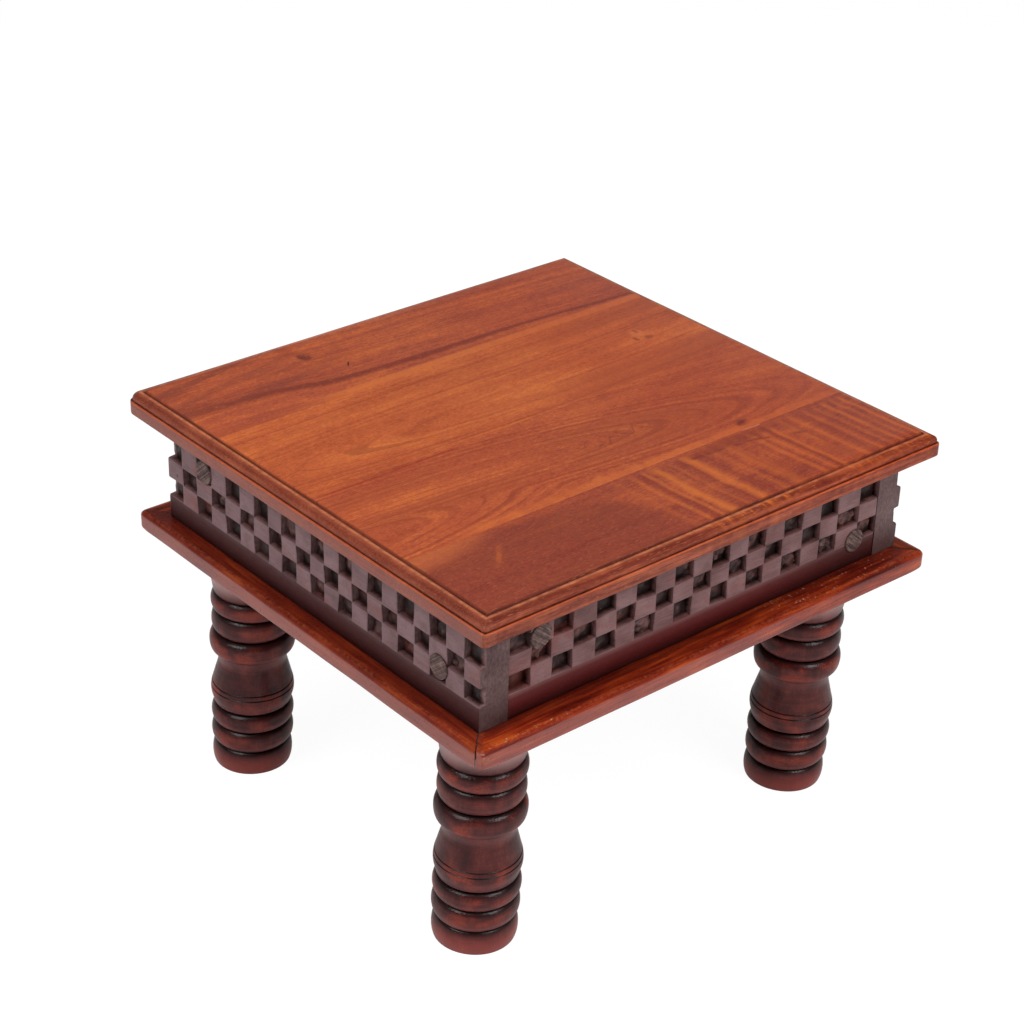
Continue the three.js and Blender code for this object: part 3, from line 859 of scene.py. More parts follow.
def nail_profile(radius, length):
    return [(radius * share, 0) for share in (0.5, 0.85)] + [
        (radius, radius * 0.2),
        (radius, length - NAIL_TIP),
        (radius * 0.15, length),
    ]


def screw_profile(radius, length):
    shank = radius * SCREW_SHANK_SHARE
    return head_profile(radius) + [
        (radius, SCREW_HEAD_HEIGHT * 0.15),
        (shank, SCREW_HEAD_HEIGHT),
        (shank, length - NAIL_TIP),
        (shank * 0.15, length),
    ]


def no_mark(seed):
    """A head that is left plain."""
    return lambda across, over: 0


def saw_mark(seed):
    """Ridges left by the saw that cut a peg's head."""
    lean = random.Random(seed).uniform(0.5, 0.9)

    def mark(across, over):
        place = across * math.cos(lean) - over * math.sin(lean)
        ridge = math.sin(place / SAW_PITCH * 2 * math.pi)
        rough = noise.noise(Vector((across, over, seed)) / SAW_ROUGH_SIZE)
        return SAW_DEPTH * (1 + ridge * 0.6 + rough)

    return mark


def slot_mark(seed):
    """The cross cut into a screw's head."""
    def mark(across, over):
        near, far = sorted((abs(across), abs(over)))
        return SLOT_DEPTH if near < SLOT_HALF_WIDTH and far < SLOT_REACH else 0

    return mark


def add_small_parts(materials):
    """Dresses the round pieces that lie along an axis, each kind by how its nodes' names start."""
    kinds = (
        ("peg_", "peg", "peg_wood", peg_profile, saw_mark, PEG_WOBBLE, as_placed),
        ("mitre_pin_", "pin", "pin_wood", nail_profile, no_mark, 0, in_worn_corner),
        ("apron_nail_", "nail", "nail_steel", nail_profile, no_mark, 0, as_placed),
        ("rail_nail_", "nail", "nail_steel", nail_profile, no_mark, 0, as_placed),
        ("batten_nail_", "nail", "nail_steel", nail_profile, no_mark, 0, as_placed),
        ("batten_screw_", "screw", "screw_steel", screw_profile, slot_mark, 0, as_placed),
    )
    for prefix, kind, slot, profile_of, mark_of, wobble, settle in kinds:
        nodes = sorted(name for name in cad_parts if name.startswith(prefix))
        for seed, node in enumerate(nodes):
            low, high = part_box(node)
            size = high - low
            axis = max(range(3), key=lambda place: size[place])
            middle = (low + high) / 2
            direction = Vector()
            direction[axis] = 1 if axis == 2 else -math.copysign(1, middle[axis])
            start = middle - direction * (size[axis] / 2)
            profile = profile_of(min(size) / 2, size[axis])
            mesh = round_mesh(node, start, direction, profile, seed, wobble, mark_of(seed), settle)
            link_piece(node, mesh, materials[kind], ROUND_SMOOTH_DEGREES)


# Battens

def add_battens(material):
    for node in ("batten_left", "batten_right"):
        low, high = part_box(node)
        middle = (low + high) / 2
        half = (high - low) / 2
        body = bmesh.new()
        bmesh.ops.create_cube(body, size=2)
        for vertex in body.verts:
            vertex.co = middle + Vector([vertex.co[axis] * half[axis] for axis in range(3)])
        bmesh.ops.bevel(body, geom=body.edges[:], offset=SOFT_ARRIS, segments=2, affect="EDGES")
        link_piece(node, mesh_from(node, body), material, FLAT_SMOOTH_DEGREES)


# Material helpers

def linear(hex_colour):
    """A colour written as on a screen, as the shader takes it."""
    channels = [int(hex_colour[i:i + 2], 16) / 255 for i in (1, 3, 5)]
    return tuple(
        c / 12.92 if c <= 0.04045 else ((c + 0.055) / 1.055) ** 2.4 for c in channels
    ) + (1,)


class Value:
    """A number that a material works out at each point, usable in sums."""

    def __init__(self, graph, socket):
        self.graph = graph
        self.socket = socket

    def __add__(self, other):
        return self.graph.math("ADD", self, other)

    def __sub__(self, other):
        return self.graph.math("SUBTRACT", self, other)

    def __rsub__(self, other):
        return self.graph.math("SUBTRACT", other, self)

    def __mul__(self, other):
        return self.graph.math("MULTIPLY", self, other)

    def __truediv__(self, other):
        return self.graph.math("DIVIDE", self, other)

    def __pow__(self, other):
        return self.graph.math("POWER", self, other)

    def __abs__(self):
        return self.graph.math("ABSOLUTE", self)

    __radd__ = __add__
    __rmul__ = __mul__

    def larger(self, other):
        return self.graph.math("MAXIMUM", self, other)

    def smaller(self, other):
        return self.graph.math("MINIMUM", self, other)

    def beside(self, other):
        """The distance from a centre that lies this far off one way and the other across it."""
        return self.graph.math("SQRT", self ** 2 + other ** 2)

    def step(self, start, end):
        """0 at the start, 1 at the end, smooth between. The start may lie past the end."""
        node = self.graph.add("ShaderNodeMapRange", {"interpolation_type": "SMOOTHSTEP"})
        for socket, item in zip(node.inputs, (self, start, end, 0, 1)):
            self.graph.feed(socket, item)
        return Value(self.graph, node.outputs[0])

    def near(self, centre, reach):
        """1 at the centre, falling to 0 at the reach on both sides."""
        return abs(self - centre).step(reach, 0)

    def within(self, low, high, blur):
        """1 between low and high, falling to 0 over the blur outside them."""
        return self.step(low - blur, low) * self.step(high + blur, high)

    def path(self, points):
        """The height of a smooth curve through (place, height) points."""
        places, heights = zip(*points)
        start, long = places[0], places[-1] - places[0]
        low, tall = min(heights), max(heights) - min(heights)
        shares = [((place - start) / long, (height - low) / tall) for place, height in points]
        node = self.graph.add("ShaderNodeFloatCurve", Value=(self - start) / long)
        curve = node.mapping.curves[0]
        curve.points[0].location = shares[0]
        curve.points[1].location = shares[-1]
        for share in shares[1:-1]:
            curve.points.new(*share)
        node.mapping.update()
        return Value(self.graph, node.outputs[0]) * tall + low

    def rings(self, size, detail=1):
        """Noise from 0 to 1 that changes with this value only."""
        node = self.graph.add(
            "ShaderNodeTexNoise", {"noise_dimensions": "1D"}, W=self / size, Scale=1, Detail=detail)
        return Value(self.graph, node.outputs[0])


def blended(*parts):
    """The sum of (noise, weight) parts, so that it stays about 0.5 in the middle."""
    return reduce(lambda total, part: (part[0] - 0.5) * part[1] + total, parts, 0.5)


class Graph:
    """The nodes of one material, and the colour that is painted in it so far.

    Its y is measured from the middle that is given."""

    def __init__(self, name, middle=Vector()):
        self.material = bpy.data.materials.new(name)
        self.material.use_nodes = True
        self.tree = self.material.node_tree
        self.shader = self.tree.nodes["Principled BSDF"]
        self.colour = None
        place = self.add("ShaderNodeTexCoord")
        self.x, y, self.z = self.split(place.outputs["Object"])
        self.y = y - middle.y
        self.facing_x, self.facing_y, self.facing_z = self.split(place.outputs["Normal"])

    def split(self, vector):
        node = self.add("ShaderNodeSeparateXYZ", Vector=vector)
        return [Value(self, node.outputs[axis]) for axis in "XYZ"]

    def feed(self, socket, value):
        if isinstance(value, Value):
            value = value.socket
        if isinstance(value, str):
            value = linear(value)
        if isinstance(value, bpy.types.NodeSocket):
            self.tree.links.new(value, socket)
        else:
            socket.default_value = value

    def add(self, kind, settings=None, **inputs):
        node = self.tree.nodes.new(kind)
        for name, value in (settings or {}).items():
            setattr(node, name, value)
        for name, value in inputs.items():
            self.feed(node.inputs[name.replace("_", " ")], value)
        return node

    def math(self, operation, *values):
        node = self.add("ShaderNodeMath", {"operation": operation})
        for socket, value in zip(node.inputs, values):
            self.feed(socket, value)
        return Value(self, node.outputs[0])

    def spot(self, x, y, reach_x, reach_y):
        """1 at a place of the top, falling to 0 on an ellipse round it."""
        far = ((self.x - x) / reach_x) ** 2 + ((self.y - y) / reach_y) ** 2
        return far.step(1, 0)

    def noise(self, sizes, detail=3, roughness=0.5, at=None):
        """Smooth noise from 0 to 1. sizes gives its blobs' sizes along the values of at, or along
        x, y and z. One size stands for three."""
        if isinstance(sizes, float):
            sizes = (sizes,) * 3
        place = self.add("ShaderNodeCombineXYZ")
        for socket, value, size in zip(place.inputs, at or (self.x, self.y, self.z), sizes):
            self.feed(socket, value / size)
        node = self.add(
            "ShaderNodeTexNoise", Vector=place.outputs[0], Scale=1, Detail=detail, Roughness=roughness)
        return Value(self, node.outputs[0])

    def mix(self, first, second, share, *masks, blend="MIX"):
        """Lays the second colour over the first by a share, and less where a mask is below 1."""
        node = self.add("ShaderNodeMix", {"data_type": "RGBA", "blend_type": blend})
        factor = reduce(lambda product, mask: mask * product, masks, share)
        for place, value in ((0, factor), (6, first), (7, second)):
            self.feed(node.inputs[place], value)
        return node.outputs[2]

    def paint(self, tone, share, *masks, blend="MIX"):
        """Lays a tone over the colour so far, as mix does."""
        self.colour = self.mix(self.colour, tone, share, *masks, blend=blend)

    def ramp(self, factor, stops):
        node = self.add("ShaderNodeValToRGB", Fac=factor)
        elements = node.color_ramp.elements
        while len(elements) < len(stops):
            elements.new(1)
        for element, (place, colour) in zip(elements, stops):
            element.position = place
            element.color = linear(colour)
        return node.outputs[0]

    def finish(self, roughness, bump, bump_distance, coat=0.0, coat_roughness=0.1,
               metallic=0.0, specular=0.3):
        """Sets the shader. bump is a height from 0 to 1 that stands for bump_distance metres."""
        lift = self.add("ShaderNodeBump", Height=bump, Strength=1.0, Distance=bump_distance)
        settings = {
            "Base Color": self.colour,
            "Roughness": roughness,
            "Metallic": metallic,
            "Specular IOR Level": specular,
            "Coat Weight": coat,
            "Coat Roughness": coat_roughness,
            "Normal": lift.outputs[0],
            "Coat Normal": lift.outputs[0],
        }
        for name, value in settings.items():
            self.feed(self.shader.inputs[name], value)
        return self.material


# Wood of the top. Each board has its own growth, which runs across its yearly rings. Names that
# end in SIZE or SIZES give the blobs of a noise. Names that end in _X or _Y give the place where
# a mark starts and the place from which it is full, and with a third number that of its blur.

FIBRE_SIZES = (0.03, 0.0009, 0.0009)
PORE_SIZES = (0.005, 0.0005, 0.0005)
CLOUD_SIZES = (0.07, 0.022, 0.022)
MOTTLE_SIZES = (0.007, 0.005, 0.005)
GRIT_SIZES = (0.0026, 0.0012, 0.0012)
WARP_SIZES = (0.06, 0.02, 0.02)
WARP_REACH = 0.008
WIDE_RING = 0.010
FINE_RING = 0.0022
LINE_RING = 0.0055
SIDE_GRAIN_SIZES = (0.05, 0.05, 0.0022)
END_SPECK_SIZE = 0.0016
SIDE_TONES = ((0.34, "#501d15"), (0.46, "#7c3826"), (0.56, "#9a5038"), (0.68, "#b8674a"))
END_TONES = ((0.32, "#5a2a20"), (0.5, "#804232"), (0.66, "#a05c48"))
EDGE_BLUR = 0.0004
END_BLUR = 0.002
QUIRK_SHADOW_INSET = 0.0002
QUIRK_SHADOW_BLUR = 0.0003
QUIRK_SHADOW_DEPTHS = (0.0005, 0.0012)
FASCIA_SHEEN_BAND = (0.0006, 0.0002)
LEDGE_CREASE_SHADE_REACH = 0.0008
LEDGE_HIGHLIGHT_REACH = 0.0006
TOP_TINT = "#fff4ea"
TOP_RIGHT_SHADE_TINT = "#fde6d8"
TOP_RIGHT_X = (0, 0.12)
TOP_BUMP = 0.00012


class TopBoard(Graph):
    """The parts that the material of every top board shares."""

    def __init__(self, name):
        super().__init__(name)
        self.fibre = self.noise(FIBRE_SIZES, roughness=0.65)
        self.pore = self.noise(PORE_SIZES, detail=2)
        self.cloud = self.noise(CLOUD_SIZES, detail=4, roughness=0.6)
        self.mottle = self.noise(MOTTLE_SIZES)
        self.grit = self.noise(GRIT_SIZES, detail=2, roughness=0.7)
        self.warp = (self.noise(WARP_SIZES, detail=2) - 0.5) * WARP_REACH
        self.depth = (TOP_HIGH.z - self.z) * 0.6

    def figure(self, growth, tones, rings=0.35):
        """Paints the plain wood, with its yearly rings, clouds, fibres and grit."""
        wide, fine = growth.rings(WIDE_RING, detail=2), growth.rings(FINE_RING, detail=2)
        self.colour = self.ramp(blended(
            (wide, rings * 2), (fine, rings), (self.cloud, 0.9), (self.fibre, 0.5),
            (self.mottle, 0.35), (self.grit, 0.95)), tones)

    def lines(self, growth, size=LINE_RING, width=0.035):
        """Thin dark lines where the wood's yearly rings end."""
        return growth.rings(size).near(0.5, width) * self.cloud.step(0.3, 0.6)

    def finish_board(self, flames=None):
        """Colours the moulded edge with painted light and shade on it, darkens pores and end grain,
        and sets the varnish.
        """
        from_end = TOP_HIGH.x - abs(self.x)
        from_edge = from_end.smaller(TOP_HIGH.y - abs(self.y))
        below = TOP_HIGH.z - self.z
        edge = from_edge.step(FIELD_EDGE + EDGE_BLUR, FIELD_EDGE - EDGE_BLUR)
        side_grain = self.noise(SIDE_GRAIN_SIZES, detail=4, roughness=0.6)
        self.paint(self.ramp(side_grain * 0.8 + self.mottle * 0.2, SIDE_TONES), 0.75, edge)
        speck = self.noise(END_SPECK_SIZE, detail=4, roughness=0.7)
        end_tone = self.ramp(speck * 0.6 + self.cloud * 0.4, END_TONES)
        self.paint(end_tone, 0.6, edge, from_end.step(FIELD_EDGE, FIELD_EDGE - END_BLUR))
        if flames is not None:
            on_bead = from_edge.near(LEDGE_WIDTH + BEAD_WIDTH * 0.5, BEAD_WIDTH * 0.65)
            on_front = self.y.step(FIELD_EDGE - TOP_HIGH.y, QUIRK_START - TOP_HIGH.y)
            self.paint("#d2702c", 1, flames, on_bead, on_front)

        quirk = from_edge.within(
            FIELD_EDGE - QUIRK_WIDTH * 0.8, FIELD_EDGE - QUIRK_SHADOW_INSET, QUIRK_SHADOW_BLUR)
        self.paint("#3a120c", 0.55, quirk, below.step(*QUIRK_SHADOW_DEPTHS))
        # Painted highlight: a pale band along the crest of the bead.
        crest_highlight = from_edge.near(LEDGE_WIDTH + BEAD_WIDTH * 0.85, BEAD_WIDTH * 0.25)
        self.paint("#cb8560", 1, crest_highlight, self.mottle.step(0.35, 0.65) * 0.4 + 0.3)
        # Painted shade: the lower part of the bead darkened.
        low_bead_shade = from_edge.near(LEDGE_WIDTH + BEAD_WIDTH * 0.28, BEAD_WIDTH * 0.36)
        self.paint("#58190f", 1, low_bead_shade, self.fibre * 0.4 + 0.3)
        # Painted reflection of the white floor: the fascia that faces left paled mauve.
        self.paint("#92696a", 0.35, self.facing_x.step(-0.6, -0.9), from_edge.step(*FASCIA_SHEEN_BAND))
        # Painted shade: a dark line in the crease where the bead meets the ledge.
        ledge_depth = TOP_HIGH.z - TOP_LOW.z - FASCIA_HEIGHT
        past_ledge = from_edge.step(LEDGE_WIDTH * 0.8, LEDGE_WIDTH * 1.2)
        self.paint("#3c120c", 0.6, below.near(ledge_depth, LEDGE_CREASE_SHADE_REACH), past_ledge)
        # Painted highlight: a bright line along the ledge, which faces up.
        ledge = below.near(ledge_depth, LEDGE_HIGHLIGHT_REACH) * from_edge.step(LEDGE_WIDTH, LEDGE_WIDTH * 0.6)
        self.paint("#cb6742", 1, ledge, self.mottle * 0.5 + 0.3)

        pores = self.pore.step(0.58, 0.72)
        self.paint("#5f2417", 0.42, pores)
        self.paint("#dd9a72", 0.26, self.pore.step(0.42, 0.28))
        self.paint(TOP_TINT, 1, blend="MULTIPLY")
        # Painted shade: the right part of the top multiplied redder and darker, against the paler
        # sheen there.
        self.paint(TOP_RIGHT_SHADE_TINT, 0.8, self.x.step(*TOP_RIGHT_X), blend="MULTIPLY")
        bump = self.fibre * 0.5 - pores * 0.5 + self.mottle * 0.4
        return self.finish(
            self.fibre * 0.12 + 0.36, bump, TOP_BUMP, coat=0.12, coat_roughness=0.22, specular=0.14)


BACK_TONES = ((0.2, "#8a4030"), (0.42, "#a24f38"), (0.58, "#ad5738"), (0.8, "#c46a3c"))
STREAK_PATH = ((-0.2, 0.131), (-0.13, 0.1275), (-0.1, 0.122), (-0.07, 0.1155), (0, 0.1115),
               (0.06, 0.110), (0.11, 0.1075), (0.15, 0.1045), (0.2, 0.1015))
STREAK_WIDTH = 0.0085
STREAK_EDGE = 0.0022
STREAK_RAGGED = 0.003
STREAK_X = (-0.2, -0.1)
STREAK_WIDE_X = (0.1, 0)
SMOKE_X = (-0.03, -0.12)
DRIFT_SIZES = (0.11, 0.009, 0.02)
DRIFT_X = (-0.03, -0.13)
DRIFT_Y = (0.108, 0.122)
BACK_BAND_X = (-0.15, -0.05)
BACK_FLAME_SIZES = (0.006, 0.02, 0.02)
BACK_KNOT = (-0.071, 0.156, 0.007, 0.0075)
BACK_KNOT_TAIL = (-0.077, 0.170, 0.007, 0.012)
PIT = (-0.0535, 0.129, 0.004, 0.004)
PIT_EDGE = (0.0009, 0.0003)


def back_board():
    """Dark streaks on the left, a knot, and one long dark streak above a bright band."""
    board = TopBoard("top_board_back_wood")
    x, y = board.x, board.y
    streak_line = x.path(STREAK_PATH)
    growth = y - streak_line * 0.8 + board.warp + board.depth
    board.figure(growth, BACK_TONES, rings=0.28)
    board.paint("#7a3424", 0.25, board.lines(growth))

    drift = board.noise(DRIFT_SIZES, detail=4, roughness=0.6, at=(x, y - x * 0.16, board.z))
    board.paint("#743a31", 0.65, drift.step(0.42, 0.66), x.step(*DRIFT_X), y.step(*DRIFT_Y))

    below = streak_line - y + (board.mottle - 0.5) * STREAK_RAGGED
    width = (x.step(*STREAK_WIDE_X) * 0.5 + 0.5) * STREAK_WIDTH
    streak = below.step(-STREAK_EDGE, STREAK_EDGE * 0.5) * below.step(width, width * 0.35)
    board.paint("#742f27", 0.8, x.step(*STREAK_X), streak)
    smoke = y.near(streak_line, STREAK_WIDTH * 1.6)
    board.paint("#74362c", 0.7, smoke, x.step(*SMOKE_X), board.cloud.step(0.35, 0.6))

    band = y.within(SEAMS[2] - STREAK_EDGE, SEAMS[2] + STREAK_WIDTH * 0.75, STREAK_EDGE)
    flame = board.noise(BACK_FLAME_SIZES, detail=2)
    board.paint("#c8703c", 1, band, x.step(*BACK_BAND_X), flame * 0.6 + 0.45)

    board.paint("#5c2620", 1, board.spot(*BACK_KNOT), board.mottle.step(0.2, 0.6))
    board.paint("#85382a", 0.45, board.spot(*BACK_KNOT_TAIL))
    slant = abs((x - PIT[0]) * 0.8 - (y - PIT[1]) * 0.6)
    board.paint("#34120c", 1, slant.step(*PIT_EDGE), board.spot(*PIT))
    return board.finish_board()


BACK_MIDDLE_TONES = ((0.2, "#9b4b2c"), (0.42, "#b25a35"), (0.58, "#ba6238"), (0.82, "#cc763e"))
BACK_LOOPS_AXIS = (
    (-0.2, 0.025), (-0.1, 0.0235), (0, 0.0215), (0.04, 0.021), (0.165, 0.0255), (0.2, 0.0275))
BACK_LOOPS_MIDDLE = 0.04
BACK_LOOPS_EDGE = (0.035, 0.02)
BACK_LOOPS_X = (0.03, -0.06)
BACK_LOOP_RING = 0.0042
WIDE_LINE_RING = 0.012
LOW_WAVE_PATH = (
    (-0.2, 0.0065), (-0.14, 0.0005), (-0.08, -0.004), (0, -0.0055), (0.1, -0.003), (0.2, 0.0015))
LOW_WAVE_REACH = 0.0016
HIGH_WAVE_RISE = 0.0042
HIGH_WAVE_X = (0.02, -0.08)
THIN_LINE_REACH = 0.0011
HIGH_LINE_PATH = ((-0.2, 0.0755), (-0.12, 0.0775), (0.0, 0.0785), (0.2, 0.0775))
HIGH_LINE_REACH = 0.001
HIGH_LINE_X = (0.12, 0.03)
CENTRE_LINE_X = (0.05, 0.16, 0.02)
BROWN_X = (0, 0.08)
BROWN_END, BROWN_BLUR = 0.016, 0.008
FAR_X = (0.03, 0.12)
FAR_START, FAR_BLUR = 0.074, 0.006
BRIGHT_SPOT = (0.139, 0.047, 0.007, 0.008)
SMALL_KNOTS = (
    (0.132, 0.040, 0.0025, 0.005), (0.142, 0.0375, 0.005, 0.0035), (0.140, 0.050, 0.002, 0.004))


def back_middle_board():
    """Orange, with long loops of grain that point left and a small cluster of knots."""
    board = TopBoard("top_board_back_middle_wood")
    x, y = board.x, board.y
    across = y - x.path(BACK_LOOPS_AXIS)
    along = (x - BACK_LOOPS_MIDDLE).smaller(0) * 0.1
    growth = along.beside(across) + board.warp * 0.35 + board.depth
    board.figure(growth, BACK_MIDDLE_TONES)
    loops = board.lines(growth, BACK_LOOP_RING, 0.05)
    board.paint("#8c3f28", 0.6, loops, growth.step(*BACK_LOOPS_EDGE), x.step(*BACK_LOOPS_X))
    board.paint("#954529", 0.3, board.lines(growth, WIDE_LINE_RING, 0.03))

    wave = y - x.path(LOW_WAVE_PATH) + board.warp * 0.3
    board.paint("#8a3c2c", 0.55, wave.near(0, LOW_WAVE_REACH))
    board.paint("#8a3c2c", 0.5, wave.near(HIGH_WAVE_RISE, THIN_LINE_REACH), x.step(*HIGH_WAVE_X))
    high_line = (y + board.warp * 0.2).near(x.path(HIGH_LINE_PATH), HIGH_LINE_REACH)
    board.paint("#8c4029", 0.5, high_line, x.step(*HIGH_LINE_X))
    board.paint("#8a3c2a", 0.6, across.near(0, THIN_LINE_REACH), x.within(*CENTRE_LINE_X))

    brown = y.within(SEAMS[1], BROWN_END, BROWN_BLUR)
    board.paint("#99482f", 0.6, brown, x.step(*BROWN_X), board.cloud.step(0.3, 0.55))
    far = y.within(FAR_START, SEAMS[2], FAR_BLUR)
    board.paint("#96472f", 0.5, far, x.step(*FAR_X), board.cloud.step(0.3, 0.6))
    board.paint("#d17f4c", 0.65, board.spot(*BRIGHT_SPOT))
    for knot in SMALL_KNOTS:
        board.paint("#843827", 0.75, board.spot(*knot))
    return board.finish_board()


FRONT_MIDDLE_TONES = ((0.2, "#91422b"), (0.42, "#a55035"), (0.58, "#ae5836"), (0.82, "#c0693a"))
FRONT_LOOPS_AXIS = (
    (-0.2, -0.042), (-0.1, -0.047), (0, -0.058), (0.08, -0.069), (0.125, -0.074), (0.2, -0.076))
FRONT_LOOPS_START = -0.06
LEFT_LOOPS_START = -0.215
LEFT_LOOPS_HEIGHT = -0.073
LOOPS_BLEND = 0.004
FRONT_LOOPS_EDGE = (0.042, 0.025)
FRONT_LOOP_RING = 0.0045
CORE_EDGE = (0.011, 0.004)
CORE_X = (-0.03, 0.12, 0.03)
SHADE_BAND = (0.012, 0.022, 0.006)
JAG_RING = 0.007
JAG_SWING = 0.03
JAG_HEIGHT, JAG_REACH = -0.062, 0.0016
JAG_X = (0, 0.045, 0.012)
RED_LINE_HEIGHT, RED_LINE_REACH = -0.0118, 0.0014
RED_LINE_X = (-0.17, -0.08, 0.02)
BAND_DEPTH = 0.009
BAND_BLUR = 0.004
BAND_RAGGED = 0.009
BAND_RAGGED_SIZES = (0.012, 0.02, 0.02)
BAND_FLAME_SIZES = (0.009, 0.03, 0.03)
BAND_X = (-0.11, 0.15, 0.05)
FRONT_MIDDLE_KNOT = (0.1, -0.097, 0.008, 0.0055)


def front_middle_board():
    """Darker orange, with loops of grain that point right, and a bright band at its front."""
    board = TopBoard("top_board_front_middle_wood")
    x, y = board.x, board.y
    along = (x - FRONT_LOOPS_START).larger(0) * 0.15
    right_loops = along.beside(y - x.path(FRONT_LOOPS_AXIS))
    left_along = (x - LEFT_LOOPS_START).larger(0) * 0.2
    left_loops = left_along.beside(y - LEFT_LOOPS_HEIGHT)
    loops = board.math("SMOOTH_MIN", right_loops, left_loops, LOOPS_BLEND)
    growth = loops + board.warp * 0.3 + board.depth
    board.figure(growth, FRONT_MIDDLE_TONES)
    lines = board.lines(growth, FRONT_LOOP_RING, 0.05)
    board.paint("#7e3428", 0.6, lines, growth.step(*FRONT_LOOPS_EDGE))

    core = right_loops.step(*CORE_EDGE) * x.within(*CORE_X)
    board.paint("#84392c", 0.45, core, board.mottle.step(0.3, 0.6))
    board.paint("#90432e", 0.5, right_loops.within(*SHADE_BAND), board.cloud.step(0.35, 0.6))

    jag = (y + (x.rings(JAG_RING) - 0.5) * JAG_SWING).near(JAG_HEIGHT, JAG_REACH)
    board.paint("#762e24", 0.6, jag, x.within(*JAG_X))
    red = (y + board.warp * 0.2).near(RED_LINE_HEIGHT, RED_LINE_REACH)
    board.paint("#8f2f1e", 0.8, red, x.within(*RED_LINE_X))

    ragged = (board.noise(BAND_RAGGED_SIZES) - 0.5) * BAND_RAGGED
    band_edge = SEAMS[0] + BAND_DEPTH + board.warp * 0.8 + ragged
    band = y.step(band_edge, band_edge - BAND_BLUR) * x.within(*BAND_X)
    flame = board.noise(BAND_FLAME_SIZES, detail=2)
    board.paint("#c46b39", 1, band, flame * 1.1 - 0.02)

    board.paint("#6f2c22", 1, board.spot(*FRONT_MIDDLE_KNOT), board.mottle.step(0.25, 0.6))
    return board.finish_board()


FRONT_TONES = ((0.2, "#7d362c"), (0.42, "#924634"), (0.58, "#a04e34"), (0.82, "#b45f38"))
DARK_EDGE_PATH = ((-0.2, -0.104), (-0.07, -0.1105), (-0.045, -0.118), (-0.03, -0.135), (-0.02, -0.19))
DARK_ABOVE, DARK_BELOW = 0.004, 0.011
DARK_X = (-0.008, -0.045)
BARE_SPOT = (-0.185, -0.107, 0.07, 0.018)

# The stripes of the curly grain: place along X, reach to each side, strength
STRIPES = (
    (-0.022, 0.0028, 0.5), (-0.010, 0.0024, 0.55), (0.0, 0.0022, 0.6), (0.0085, 0.0048, 0.95),
    (0.022, 0.002, 0.35), (0.036, 0.0046, 1.0), (0.056, 0.003, 0.35), (0.069, 0.0055, 0.5),
    (0.092, 0.0028, 0.55), (0.101, 0.0024, 0.6), (0.110, 0.0026, 0.7), (0.122, 0.0034, 0.65),
    (0.132, 0.0028, 0.7), (0.145, 0.0026, 0.4), (0.155, 0.002, 0.45), (0.163, 0.0024, 0.85),
    (0.1715, 0.002, 0.6), (0.179, 0.0022, 0.8), (0.188, 0.002, 0.5),
)
STRIPE_WIDENING = 1.45
STRIPE_WANDER = 0.006
STRIPE_LEAN_START = -0.14
STRIPE_X = (-0.035, -0.005)
STRIPE_START, STRIPE_FULL = 0.001, 0.008
STRIPE_SHADE_RING = 0.0085
BROKEN_SIZES = (0.004, 0.05, 0.05)
STRIPE_LENGTH_SIZES = (0.01, 0.03, 0.03)
WAVY_LINE_PATH = (
    (0.03, -0.113), (0.07, -0.1165), (0.09, -0.1195), (0.105, -0.1255), (0.135, -0.131),
    (0.15, -0.1315))
WAVY_LINE_REACH = 0.0028
WAVY_LINE_X = (0.04, 0.12, 0.02)
DARK_SPOT = (0.075, -0.111, 0.05, 0.007)
CURL = (-0.139, -0.133, 0.016, 0.017)
CURL_EDGE = (0.0028, 0.0006)
SCRATCH_HEIGHT, SCRATCH_REACH = -0.1015, 0.0006
SCRATCH_X = (0.0925, 0.106, 0.002)
LICK_SIZES = (0.0045, 0.03, 0.006)
LICK_LEFT_X = (0, 0.05, 0.02)
LICK_RIGHT_X = (0.12, 0.18, 0.02)


